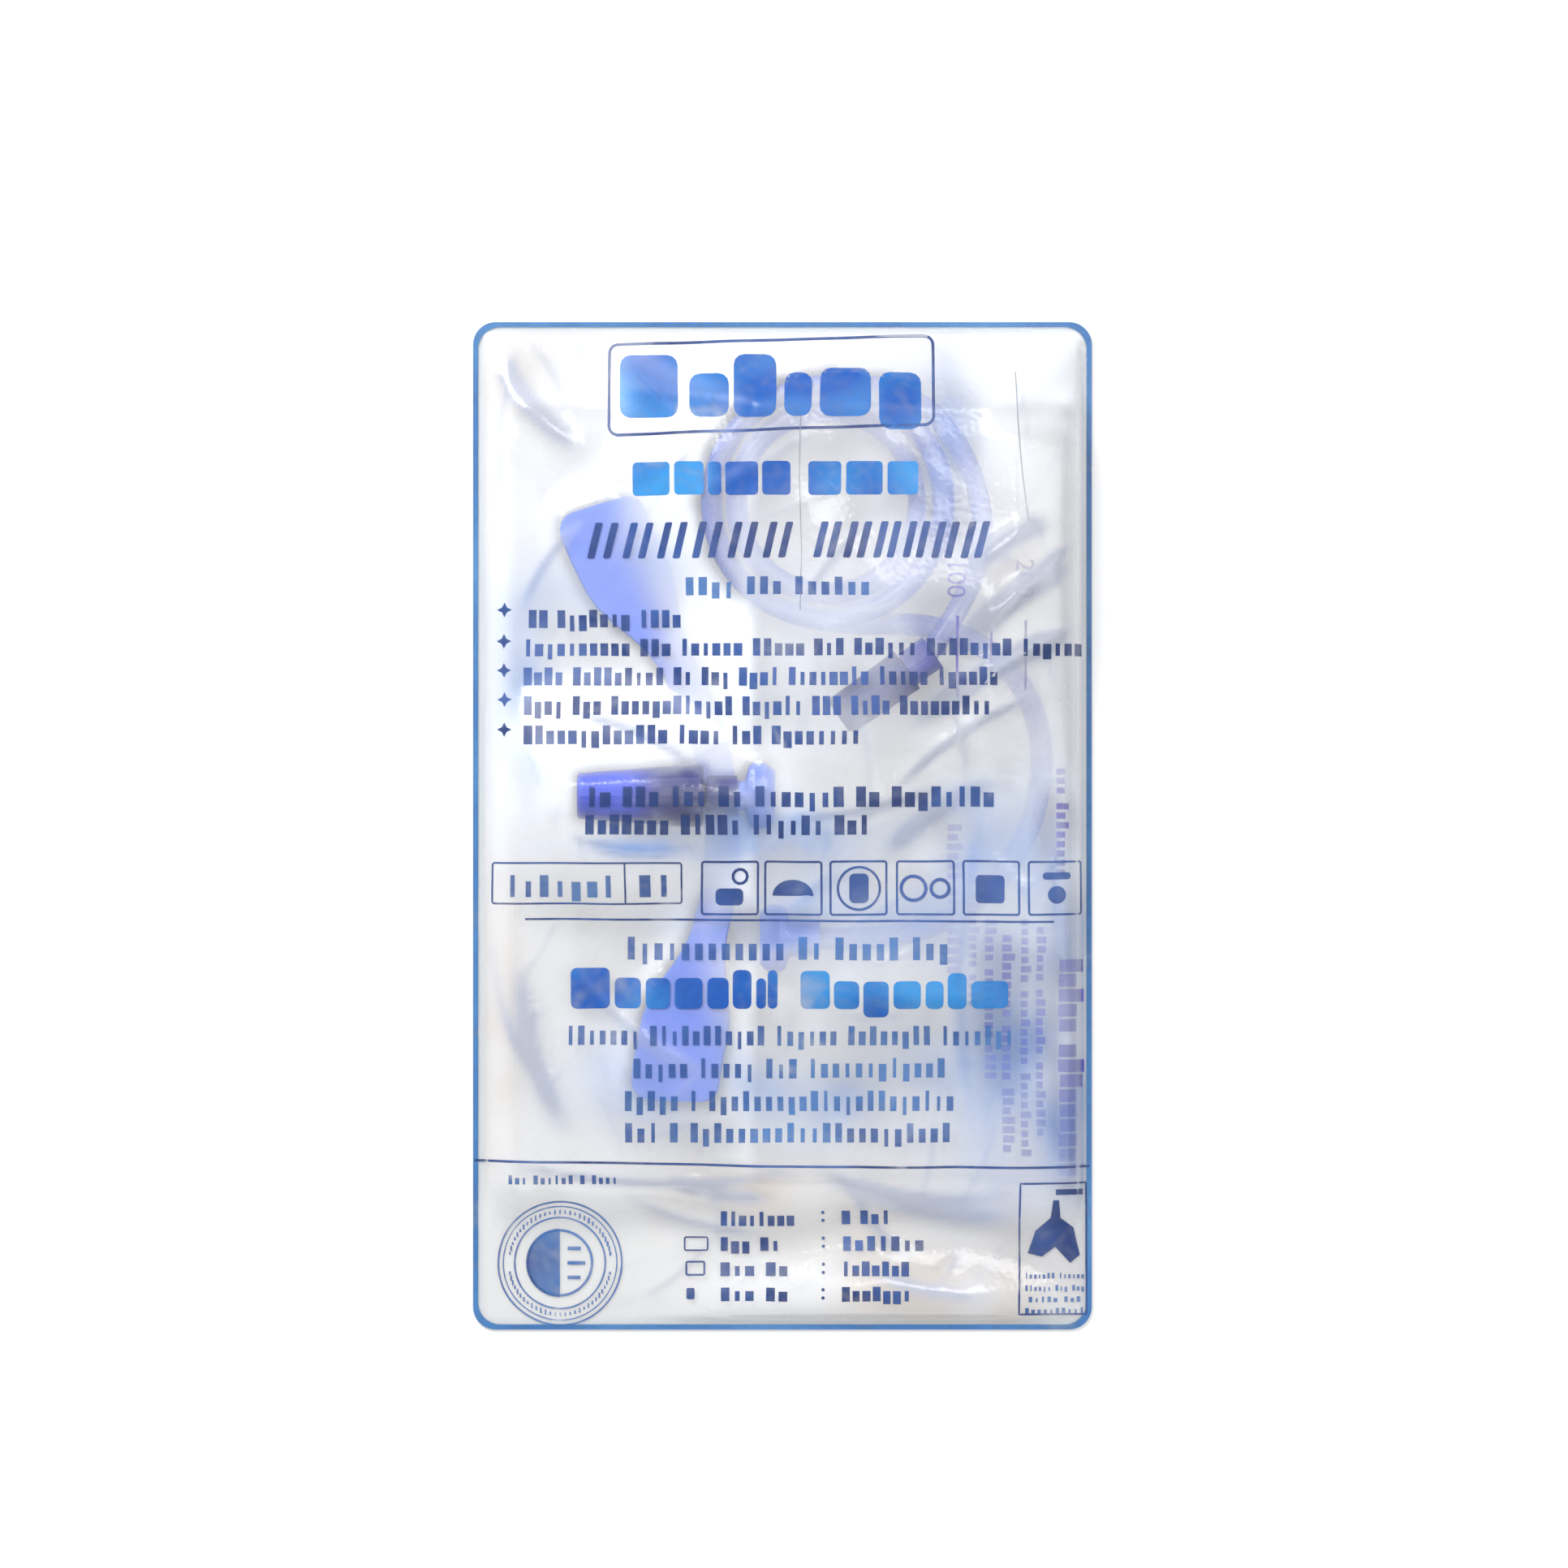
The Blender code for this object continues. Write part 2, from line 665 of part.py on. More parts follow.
def bagSurface(points):
    # The middle surface of the whole folded bag, from its top edge round both folds to its bottom edge.
    xs, ys, heights = flapHeights(points)
    ease = bagWeld + weldEase
    rows = []
    inside = np.linspace(topEdgeX - ease, leftFoldX, flapLines + 1)
    left = np.concatenate([[topEdgeX, topEdgeX - bagWeld], inside])
    for x in left[:-1]:
        rows.append([(x, y, leftFlapZ) for y in ys])
    half = (leftFlapZ - middleZ) / 2
    for i in range(foldLines + 1):
        angle = math.pi * i / foldLines
        x = leftFoldX - half * math.sin(angle)
        z = middleZ + half + half * math.cos(angle)
        rows.append([(x, y, z) for y in ys])
    for x in np.linspace(leftFoldX, rightFoldX, flapLines + 1)[1:-1]:
        rows.append([(x, y, middleZ) for y in ys])
    for i in range(foldLines + 1):
        angle = math.pi * i / foldLines
        row = []
        for j, y in enumerate(ys):
            half = (heights[0, j] - middleZ) / 2
            x = rightFoldX + rightFoldDepth * math.sin(angle)
            row.append((x, y, middleZ + half - half * math.cos(angle)))
        rows.append(row)
    for i in range(1, len(xs)):
        rows.append([(xs[i], y, heights[i, j]) for j, y in enumerate(ys)])
    return np.array(rows)


def surfaceNormals(surface):
    along = np.gradient(surface, axis=0)
    aside = np.gradient(surface, axis=1)
    normal = np.cross(along, aside)
    return normal / np.linalg.norm(normal, axis=2, keepdims=True)


def shellFaces(rows, columns):
    # Faces of a closed sheet: its upper grid, its lower grid and the four edges between them.
    faces = []
    lower = rows * columns
    for i in range(rows - 1):
        for j in range(columns - 1):
            a = i * columns + j
            faces.append((a, a + columns, a + columns + 1, a + 1))
            faces.append((lower + a, lower + a + 1, lower + a + columns + 1, lower + a + columns))
    border = [i * columns for i in range(rows)]
    border += [(rows - 1) * columns + j for j in range(1, columns)]
    border += [i * columns + columns - 1 for i in range(rows - 2, -1, -1)]
    border += [j for j in range(columns - 2, 0, -1)]
    for a, b in zip(border, border[1:] + border[:1]):
        faces.append((b, a, lower + a, lower + b))
    return faces


def makeBagSheet(name, surface, side, material):
    # One sheet of the bag, on the given side of the middle surface and drawn in at the welded rim.
    rows, columns = surface.shape[:2]
    normal = surfaceNormals(surface)
    inside = np.full((rows, columns), bagRoom / 2)
    inside[:2] = inside[-2:] = clearance / 2
    inside[:, :2] = inside[:, -2:] = clearance / 2
    inside = inside[..., None]
    near = surface + normal * inside * side
    far = surface + normal * (inside + bagSheet) * side
    upper, lower = (far, near) if side > 0 else (near, far)
    points = np.concatenate([upper.reshape(-1, 3), lower.reshape(-1, 3)])
    return addMesh(name, points.tolist(), shellFaces(rows, columns), material)


def makeReturnSleeve():
    start = topEdgeX - bagWeld - 4 * mm
    half = returnThickness / 2
    low = (start - returnLength, inletY - returnWidth / 2, leftFlapZ - half)
    high = (start, inletY + returnWidth / 2, leftFlapZ + half)
    sleeve = boxBetween("non_return_sleeve", low, high)
    sleeve.data.materials.clear()
    sleeve.data.materials.append(sheetMaterial)


# The two films of the pack
rimZ = packFilm + clearance
filmLinesX = 25
filmLinesY = 36


def rimLines(half, spans):
    # Mesh lines from one side of the pack to the other, close together at the seal and the corners.
    corner = packCornerRadius
    inner = half - corner - rimBend
    inside = np.linspace(-inner, inner, spans + 1)
    edge = [half, half - packSeal, half - corner + rimBend / 3]
    return np.concatenate([[-e for e in edge], inside, edge[::-1]])


def roundCorners(x, y):
    # Bends the square corners of a grid to the pack's round ones.
    halfX = packWidth / 2
    halfY = packLength / 2
    corner = packCornerRadius
    u = max(0.0, abs(x) - (halfX - corner)) / corner
    v = max(0.0, abs(y) - (halfY - corner)) / corner
    if u == 0.0 or v == 0.0:
        return x, y
    newX = (halfX - corner) + corner * u * math.sqrt(1 - v * v / 2)
    newY = (halfY - corner) + corner * v * math.sqrt(1 - u * u / 2)
    return math.copysign(newX, x), math.copysign(newY, y)


def makeFilm(name, xs, ys, heights, material):
    upper = []
    lower = []
    for i, x in enumerate(xs):
        for j, y in enumerate(ys):
            px, py = roundCorners(x, y)
            lower.append((px, py, heights[i, j]))
            upper.append((px, py, heights[i, j] + packFilm))
    return addMesh(name, upper + lower, shellFaces(len(xs), len(ys)), material)


def faceSplits(corners, u, v):
    # Heights across a face with four corners, for both ways of splitting it into two triangles.
    (a, c), (b, d) = corners
    first = np.where(u > v, a + u * (b - a) + v * (d - b), a + v * (c - a) + u * (d - c))
    near = a + u * (b - a) + v * (c - a)
    far = d + (1 - u) * (c - d) + (1 - v) * (b - d)
    return first, np.where(u + v < 1, near, far)


def raiseFace(field, corners):
    # Raises the field over one face of the bag's mesh.
    (a, c), (b, d) = corners
    us = np.linspace(0, 1, 2 + int(np.abs(b - a)[:2].max() / fieldStep))
    vs = np.linspace(0, 1, 2 + int(np.abs(c - a)[:2].max() / fieldStep))
    u, v = np.meshgrid(us, vs, indexing="ij")
    heights = np.maximum(*faceSplits(corners[:, :, 2], u, v))
    u = u[..., None]
    v = v[..., None]
    fine = (a * (1 - u) + b * u) * (1 - v) + (c * (1 - u) + d * u) * v
    fine[..., 2] = heights
    for i in range(len(us) - 1):
        for j in range(len(vs) - 1):
            square = fine[i : i + 2, j : j + 2].reshape(-1, 3)
            low = square.min(axis=0) - panelHalf
            high = square.max(axis=0) + panelHalf
            raiseBox(field, low[0], high[0], low[1], high[1], high[2] + clearance)


def filmField(points, surface):
    # Everything that the front film lies over.
    field = np.zeros_like(gridX)
    raiseTube(field, points)
    raiseInlet(field)
    sideLow = surface[0, 0, 1]
    sideHigh = surface[0, -1, 1]
    outerLeft = surface[:, :, 0].min() - panelHalf
    raiseBox(field, outerLeft, topEdgeX, sideLow, sideHigh, leftFlapTop)
    span = [hangerLine(hangerHalfSpan * (i / 30 - 1)) for i in range(61)]
    for i, p in enumerate(span):
        raiseRound(field, p, hangerHalf(hangerHalfSpan * (i / 30 - 1)), hangerTop)
    reach = sleeveStart + sleeveLength + sleeveTravel
    top = outletZ + sleeveTall
    raiseBox(field, bottomEdgeX - reach, bottomEdgeX, outletY - sleeveWide, outletY + sleeveWide, top)
    raiseBox(field, bottomEdgeX - portBody, 0.0, outletY - portHalfWidth, outletY + portHalfWidth, top)
    # The bag's bottom end and its right fold, each face of their mesh in small squares
    rows = surface.shape[0]
    first = rows - (flapLines + 3) - foldLines
    for i in range(first, rows - 1):
        for j in range(surface.shape[1] - 1):
            raiseFace(field, surface[i : i + 2, j : j + 2])
    return field


def widen(field):
    # Each place takes the highest value of the places beside it.
    padded = np.pad(field, 1, mode="edge")
    wide, long = field.shape
    beside = [padded[i : i + wide, j : j + long] for i in range(3) for j in range(3)]
    return np.max(beside, axis=0)


def filmCells(wanted, xs, ys, rim):
    # The places of the field that lie under each face of the film, away from its rim.
    cells = []
    for i in range(rim, len(xs) - 1 - rim):
        columns = np.flatnonzero((fieldX >= xs[i]) & (fieldX <= xs[i + 1]))
        for j in range(rim, len(ys) - 1 - rim):
            rows = np.flatnonzero((fieldY >= ys[j]) & (fieldY <= ys[j + 1]))
            u, v = np.meshgrid(
                (fieldX[columns] - xs[i]) / (xs[i + 1] - xs[i]),
                (fieldY[rows] - ys[j]) / (ys[j + 1] - ys[j]),
                indexing="ij",
            )
            cells.append((i, j, u.ravel(), v.ravel(), wanted[np.ix_(columns, rows)].ravel()))
    return cells


def settleOver(contents, draped, xs, ys, rim):
    # The film's heights on its mesh lines: the drape, raised only until its faces clear the contents.
    columns = [int(round((x - fieldX[0]) / fieldStep)) for x in xs]
    rows = [int(round((y - fieldY[0]) / fieldStep)) for y in ys]
    heights = draped[np.ix_(np.clip(columns, 0, len(fieldX) - 1), np.clip(rows, 0, len(fieldY) - 1))]
    held = widen(contents) + filmMargin
    most = np.maximum(heights, highestBetween(held, xs, ys))
    cells = filmCells(held, xs, ys, rim)
    for settled in range(settlePasses):
        spread = settled / settlePasses  # the later passes raise all four corners alike
        for i, j, u, v, wanted in cells:
            face = heights[i : i + 2, j : j + 2]
            short = wanted - np.minimum(*faceSplits(face, u, v))
            worst = int(np.argmax(short))
            if short[worst] <= 0:
                continue
            across = np.array([1 - u[worst], u[worst]])
            along = np.array([1 - v[worst], v[worst]])
            share = np.outer(across, along)
            share = share / (share**2).sum() * (1 - spread) + spread
            face[:] = np.minimum(face + short[worst] * share, most[i : i + 2, j : j + 2])
    for i, j, u, v, wanted in cells:
        face = heights[i : i + 2, j : j + 2]
        if (wanted - np.minimum(*faceSplits(face, u, v))).max() > filmMargin / 6:
            face[:] = most[i : i + 2, j : j + 2]
    return heights


def makePackFilms(points, surface):
    xs = rimLines(packWidth / 2, filmLinesX)
    ys = rimLines(packLength / 2, filmLinesY)
    contents = filmField(points, surface)
    rim = 2
    heights = settleOver(contents, drapeOver(contents, rimZ) + filmMargin, xs, ys, rim)
    heights[:rim] = heights[-rim:] = rimZ
    heights[:, :rim] = heights[:, -rim:] = rimZ
    makeFilm("pack_front_film", xs, ys, heights, filmMaterial)
    flatX = flatLines(packWidth / 2)
    flatY = flatLines(packLength / 2)
    makeFilm("pack_back_film", flatX, flatY, np.zeros((len(flatX), len(flatY))), filmMaterial)


def flatLines(half):
    corner = packCornerRadius
    return np.array([-half, -half + corner / 2, -half + corner, half - corner, half - corner / 2, half])


for old in list(bpy.data.objects):
    bpy.data.objects.remove(old)

filmMaterial = makeMaterial("clear_film", (0.93, 0.95, 0.98), 0.25, 0.35)
sheetMaterial = makeMaterial("bag_sheet", (0.88, 0.9, 0.95), 0.3, 0.45)
tubeMaterial = makeMaterial("soft_tube", (0.72, 0.72, 0.9), 0.25, 0.8)
mouldedMaterial = makeMaterial("lavender_moulding", (0.45, 0.46, 0.78), 0.35)
outletMaterial = makeMaterial("violet_moulding", (0.22, 0.27, 0.62), 0.35)
capMaterial = makeMaterial("blue_violet_moulding", (0.25, 0.32, 0.6), 0.35)
rubberMaterial = makeMaterial("seal_rubber", (0.08, 0.08, 0.1), 0.6)

tube = tubePoints()
makeTube(tube)
makeConnector(tube[-2], connectorDirection())
makeCap(tube[-2], connectorDirection())
makePort("inlet_port", topEdgeX, inletY, leftFlapZ, inletZ, inletStubRadius, 1.0, tubeRadius + clearance)
makePort("outlet_port", bottomEdgeX, outletY, outletZ, outletZ, stubRadius, -1.0, 0.0)
makeValveBody()
makeSeal("valve_seal_inner", collarEnd + sealPlace)
makeSeal("valve_seal_outer", collarEnd + sealPlace + sealPitch)
makeSleeve()
makeHanger()
makeLockRing("hanger_lock_ring_upper", studOffset)
makeLockRing("hanger_lock_ring_lower", -studOffset)
bag = bagSurface(tube)
frontSheet = makeBagSheet("bag_front_sheet", bag, -1, sheetMaterial)
backSheet = makeBagSheet("bag_back_sheet", bag, 1, sheetMaterial)
for i, place in enumerate((studOffset, -studOffset)):
    hole = uprightRod(
        f"stud_hole_{i}",
        place,
        studRadius + studHoleClearance,
        (middleZ + leftFlapZ) / 2,
        leftFlapTop + clearance / 2,
    )
    subtract(frontSheet, hole)
    subtract(backSheet, hole)
makeReturnSleeve()
makePackFilms(tube, bag)
print("tube length", sum((b - a).length for a, b in zip(tube[:-1], tube[1:])))
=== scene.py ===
import math
import random

import bmesh
import bpy
import numpy as np
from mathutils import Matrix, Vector, noise
from mathutils.bvhtree import BVHTree


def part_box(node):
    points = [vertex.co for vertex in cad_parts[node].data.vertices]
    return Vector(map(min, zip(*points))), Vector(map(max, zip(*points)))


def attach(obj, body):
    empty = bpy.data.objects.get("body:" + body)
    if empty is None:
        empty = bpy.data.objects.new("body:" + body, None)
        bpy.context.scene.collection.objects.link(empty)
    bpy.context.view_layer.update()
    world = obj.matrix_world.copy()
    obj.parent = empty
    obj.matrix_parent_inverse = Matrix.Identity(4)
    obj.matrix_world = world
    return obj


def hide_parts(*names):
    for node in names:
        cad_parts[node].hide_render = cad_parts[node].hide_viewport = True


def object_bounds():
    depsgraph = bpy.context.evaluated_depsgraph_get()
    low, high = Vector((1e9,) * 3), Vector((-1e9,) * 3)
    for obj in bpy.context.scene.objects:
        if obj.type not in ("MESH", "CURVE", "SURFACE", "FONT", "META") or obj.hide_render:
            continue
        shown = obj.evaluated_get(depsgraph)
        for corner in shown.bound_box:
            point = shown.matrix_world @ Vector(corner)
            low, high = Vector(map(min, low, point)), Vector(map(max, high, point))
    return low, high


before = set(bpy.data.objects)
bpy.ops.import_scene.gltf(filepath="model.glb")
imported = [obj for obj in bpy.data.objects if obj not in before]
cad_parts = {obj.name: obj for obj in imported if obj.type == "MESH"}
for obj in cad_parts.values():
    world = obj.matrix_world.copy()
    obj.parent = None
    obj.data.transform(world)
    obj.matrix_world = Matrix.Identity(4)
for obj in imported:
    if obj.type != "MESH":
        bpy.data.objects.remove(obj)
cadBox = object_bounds()
mm = 0.001

# The photo in pixels: its size, the pack's sides and the pack's middle
photo = dict(size=1932, packLeft=583, packRight=1345, centreX=964, centreY=1017.5)
packLow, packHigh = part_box("pack_back_film")
packSize = packHigh - packLow
pixel = packSize.x / (photo["packRight"] - photo["packLeft"])  # metres of the pack for one pixel of the photo


def fromPixel(px, py):  # the place on the pack, seen straight from above
    return (px - photo["centreX"]) * pixel, (photo["centreY"] - py) * pixel


def linkPiece(name, data):
    piece = bpy.data.objects.new(name, data)
    bpy.context.scene.collection.objects.link(piece)
    return piece


# Camera straight above the pack, with the photo's framing
view = dict(distance=3.0, sensor=36.0, clip=20)
aimX, aimY = fromPixel(photo["size"] / 2, photo["size"] / 2)
camera = linkPiece("camera", bpy.data.cameras.new("camera"))
camera.data.sensor_width = view["sensor"]
camera.data.lens = view["sensor"] * view["distance"] / (photo["size"] * pixel)
camera.data.clip_end = view["clip"]
camera.location = (aimX, aimY, view["distance"])
bpy.context.scene.camera = camera
print("camera ready")


# Shader helpers
def newGroup(name, inputs, outputs):
    tree = bpy.data.node_groups.new(name, "ShaderNodeTree")
    for side, labels in (("INPUT", inputs), ("OUTPUT", outputs)):
        for label in labels:
            kind = "NodeSocketColor" if label.endswith("Color") else "NodeSocketFloat"
            socket = tree.interface.new_socket(label, in_out=side, socket_type=kind)
            if side == "INPUT":
                socket.default_value = inputs[label]
    return tree, tree.nodes.new("NodeGroupInput"), tree.nodes.new("NodeGroupOutput")


def wire(tree, source, target):
    tree.links.new(source, target)


def wireAll(tree, sources, target):
    for label, socket in sources.items():
        wire(tree, socket, target.inputs[label])


def addNode(tree, kind, values=(), **settings):
    node = tree.nodes.new(kind)
    for key, value in settings.items():
        setattr(node, key, value)
    for socket, value in dict(values).items():
        node.inputs[socket].default_value = value
    return node


def mathNode(tree, operation, *values, clamp=False):
    node = addNode(tree, "ShaderNodeMath", operation=operation, use_clamp=clamp)
    for slot, value in enumerate(values):
        if isinstance(value, (int, float)):
            node.inputs[slot].default_value = value
        else:
            wire(tree, value, node.inputs[slot])
    return node.outputs[0]


def remap(tree, value, gain, shift, clamp=True):  # gain times the value, plus the shift
    return mathNode(tree, "MULTIPLY_ADD", value, gain, shift, clamp=clamp)


def noiseNode(tree, values, scale=None):  # noise in the piece's own coordinates
    node = addNode(tree, "ShaderNodeTexNoise", values)
    wire(tree, addNode(tree, "ShaderNodeTexCoord").outputs["Object"], node.inputs["Vector"])
    if scale is not None:
        wire(tree, scale, node.inputs["Scale"])
    return node.outputs["Fac"]


def readAttribute(tree, name):
    return addNode(tree, "ShaderNodeAttribute", attribute_name=name).outputs["Fac"]


def mixColors(tree, mask, first, second):
    node = addNode(tree, "ShaderNodeMix", data_type="RGBA")
    wire(tree, mask, node.inputs[0])
    for slot, value in ((6, first), (7, second)):
        if isinstance(value, tuple):
            node.inputs[slot].default_value = (*value, 1.0)
        else:
            wire(tree, value, node.inputs[slot])
    return node.outputs[2]


def mixShaders(tree, mask, first, second):
    both = tree.nodes.new("ShaderNodeMixShader")
    wireAll(tree, {0: mask, 1: first, 2: second}, both)
    return both.outputs[0]


# Shared shader groups
def makeMottle():  # slow and fine colour variation of moulded and soft plastic
    tree, given, out = newGroup(
        "plasticMottle",
        {"Color": (0.5, 0.5, 0.5, 1.0), "Deep Color": (0.3, 0.3, 0.3, 1.0), "Scale": 60.0, "Roughness": 0.3},
        ("Color", "Roughness", "Height"),
    )
    slow = noiseNode(tree, {"Detail": 1.5, "Roughness": 0.55}, given.outputs["Scale"])
    fine = noiseNode(tree, {"Detail": 1.0, "Scale": 900.0})
    blotch = remap(tree, slow, gain=2.4, shift=-0.75)
    wireAll(tree, {
        "Color": mixColors(tree, blotch, given.outputs["Color"], given.outputs["Deep Color"]),
        "Roughness": remap(tree, fine, gain=0.16, shift=given.outputs["Roughness"], clamp=False),
        "Height": fine,
    }, out)
    return tree


def makeHaze():  # how milky a film looks: clear where it touches what is under it, cloudy where it stands off
    tree, given, out = newGroup(
        "filmHaze", {"Clear": 0.15, "Cloudy": 0.6, "Scale": 30.0}, ("Alpha", "Roughness", "Height", "Tint"))
    slow = noiseNode(tree, {"Detail": 2.0, "Roughness": 0.6}, given.outputs["Scale"])
    fine = noiseNode(tree, {"Detail": 0.0, "Scale": 700.0})
    patch = remap(tree, slow, gain=2.6, shift=-0.8)
    standsOff = mathNode(tree, "SUBTRACT", 1.0, readAttribute(tree, "touch"), clamp=True)
    cloud = mathNode(tree, "MULTIPLY", standsOff, remap(tree, patch, gain=0.5, shift=0.6, clamp=False), clamp=True)
    reach = mathNode(tree, "SUBTRACT", given.outputs["Cloudy"], given.outputs["Clear"])
    alpha = remap(tree, cloud, gain=reach, shift=given.outputs["Clear"], clamp=False)
    # creases, blue patches and yellower patches make the film more opaque so their colours show: painted shade along
    # the creases, a blue tint that also paints a shadow under the outlet, and yellower patches
    tintedAndShaded = 0.0
    for label, share in (("crease", 0.3), ("cool", 0.3), ("warm", 0.2)):
        added = mathNode(tree, "MULTIPLY", readAttribute(tree, label), share)
        tintedAndShaded = mathNode(tree, "ADD", tintedAndShaded, added)
    wireAll(tree, {
        "Alpha": mathNode(tree, "ADD", alpha, tintedAndShaded, clamp=True),
        "Roughness": remap(tree, fine, gain=0.2, shift=0.12, clamp=False),
        "Height": fine,
        "Tint": patch,
    }, out)
    return tree


def makeInkWearAndGlints():  # printed ink: patches where it is thinner and lets light through, and streaks where it is left off so the white film shows: painted glints across the print
    tree, given, out = newGroup(
        "inkWearAndGlints",
        {"Color": (0.0, 0.1, 0.4, 1.0), "Light Color": (0.2, 0.5, 0.8, 1.0), "Scale": 40.0, "Cover": 0.9},
        ("Color", "Alpha"),
    )
    slow = noiseNode(tree, {"Detail": 1.0, "Roughness": 0.6}, given.outputs["Scale"])
    fine = noiseNode(tree, {"Detail": 0.0, "Scale": 420.0})
    streak = noiseNode(tree, {"Scale": 60.0, "Detail": 0.0, "Distortion": 1.5})
    patch = remap(tree, slow, gain=4.0, shift=-1.7)
    thin = remap(tree, fine, gain=-0.35, shift=given.outputs["Cover"], clamp=False)
    full = mathNode(tree, "ADD", thin, 0.12, clamp=True)
    # painted glints: thin streaks where the ink is left off
    glint = remap(tree, streak, gain=5.0, shift=-3.3)
    kept = remap(tree, glint, gain=-0.45, shift=1.0, clamp=False)
    wireAll(tree, {
        "Color": mixColors(tree, patch, given.outputs["Color"], given.outputs["Light Color"]),
        "Alpha": mathNode(tree, "MULTIPLY", full, kept),
    }, out)
    return tree


mottleGroup = makeMottle()
hazeGroup = makeHaze()
inkGroup = makeInkWearAndGlints()


# Materials
finish = dict(grain=0.12, grainDeep=0.0002, filmGrain=0.15, filmDeep=0.0003, inkRough=0.35)
filmShine = dict(specular=0.3, sheen=0.14, fresnel=1.4, tintAndShade=0.85)
# colours mixed into the films: pale blue near the edge as a painted glow, yellower patches, grey painted shade along
# the creases, and a blue tint that also paints a shadow under the outlet
filmTintsAndPaintedLight = dict(rim=(0.55, 0.76, 0.95), warm=(0.68, 0.61, 0.54), crease=(0.4, 0.43, 0.53), cool=(0.13, 0.29, 0.68))


def newMaterial(name):
    material = bpy.data.materials.new(name)
    material.use_nodes = True
    return material, material.node_tree, material.node_tree.nodes["Principled BSDF"]


def placeGroup(tree, group, values):
    node = addNode(tree, "ShaderNodeGroup", node_tree=group)
    for label, value in values.items():
        node.inputs[label].default_value = (*value, 1.0) if isinstance(value, tuple) else value
    return node.outputs


def bumpFrom(tree, height, strength, distance):
    bump = addNode(tree, "ShaderNodeBump", {"Strength": strength, "Distance": distance})
    wire(tree, height, bump.inputs["Height"])
    return bump.outputs["Normal"]


def plasticMaterial(name, color, deepColor, scale=60.0, roughness=0.28, alpha=1.0, coat=0.4):
    material, tree, shader = newMaterial(name)
    mottle = placeGroup(tree, mottleGroup,
                        {"Color": color, "Deep Color": deepColor, "Scale": scale, "Roughness": roughness})
    wireAll(tree, {"Base Color": mottle["Color"], "Roughness": mottle["Roughness"],
                   "Normal": bumpFrom(tree, mottle["Height"], finish["grain"], finish["grainDeep"])}, shader)
    shader.inputs["Coat Weight"].default_value = coat
    shader.inputs["Alpha"].default_value = alpha
    return material


def showThrough(material, start, end, shade):  # along X, what lies inside darkens a thin wall
    tree = material.node_tree
    target = tree.nodes["Principled BSDF"].inputs["Base Color"]
    source = target.links[0].from_socket
    place = addNode(tree, "ShaderNodeTexCoord")
    split = addNode(tree, "ShaderNodeSeparateXYZ")
    ramp = addNode(tree, "ShaderNodeMapRange", {"From Min": start, "From Max": end}, interpolation_type="SMOOTHSTEP")
    wire(tree, place.outputs["Object"], split.inputs[0])
    wire(tree, split.outputs["X"], ramp.inputs["Value"])
    wire(tree, mixColors(tree, ramp.outputs["Result"], source, shade), target)


def filmMaterial(name, color, tint, clear, cloudy, scale):
    material, tree, shader = newMaterial(name)
    haze = placeGroup(tree, hazeGroup, {"Clear": clear, "Cloudy": cloudy, "Scale": scale})
    mixed = mixColors(tree, haze["Tint"], color, tint)
    # each attribute mixes its colour in: painted glow at the rim, yellower patches, painted crease shade, blue tint
    # with a painted shadow
    for label, shade in filmTintsAndPaintedLight.items():
        tintAndShade = mathNode(tree, "MULTIPLY", readAttribute(tree, label), filmShine["tintAndShade"], clamp=True)
        mixed = mixColors(tree, tintAndShade, mixed, shade)
    normal = bumpFrom(tree, haze["Height"], finish["filmGrain"], finish["filmDeep"])
    wireAll(tree, {"Base Color": mixed, "Alpha": haze["Alpha"], "Roughness": haze["Roughness"], "Normal": normal},
            shader)
    shader.inputs["Specular IOR Level"].default_value = filmShine["specular"]
    sheen = addNode(tree, "ShaderNodeBsdfGlossy", {"Roughness": filmShine["sheen"], "Color": (1.0, 1.0, 1.0, 1.0)})
    facing = addNode(tree, "ShaderNodeFresnel", {"IOR": filmShine["fresnel"]})
    for node in (sheen, facing):
        wire(tree, normal, node.inputs["Normal"])
    both = mixShaders(tree, facing.outputs[0], shader.outputs[0], sheen.outputs[0])
    wire(tree, both, tree.nodes["Material Output"].inputs["Surface"])
    return material


def inkMaterial(name, color, lightColor, scale=40.0, cover=0.9):
    material, tree, shader = newMaterial(name)
    ink = placeGroup(tree, inkGroup, {"Color": color, "Light Color": lightColor, "Scale": scale, "Cover": cover})
    wireAll(tree, {"Base Color": ink["Color"], "Alpha": ink["Alpha"]}, shader)
    shader.inputs["Roughness"].default_value = finish["inkRough"]
    return material


lavender = plasticMaterial("lavenderMoulding", (0.25, 0.37, 0.92), (0.17, 0.28, 0.84), scale=45.0)
violet = plasticMaterial("violetMoulding", (0.004, 0.014, 0.22), (0.003, 0.009, 0.15),
                         scale=50.0, roughness=0.4, coat=0.1)
sleeveLook = plasticMaterial("sleeveMoulding", (0.08, 0.14, 0.8), (0.05, 0.1, 0.66), scale=50.0)
blueViolet = plasticMaterial("blueVioletCap", (0.006, 0.025, 0.3), (0.003, 0.015, 0.22),
                             scale=50.0, roughness=0.42, coat=0.1)
tubeLook = plasticMaterial("softTube", (0.5, 0.58, 1.0), (0.36, 0.46, 0.98), scale=35.0, roughness=0.2, alpha=0.36)
connectorLook = plasticMaterial("connectorPlastic", (0.16, 0.18, 0.58), (0.1, 0.12, 0.5), scale=50.0, roughness=0.25)
showThrough(sleeveLook, start=-0.044, end=-0.03, shade=(0.006, 0.016, 0.2))
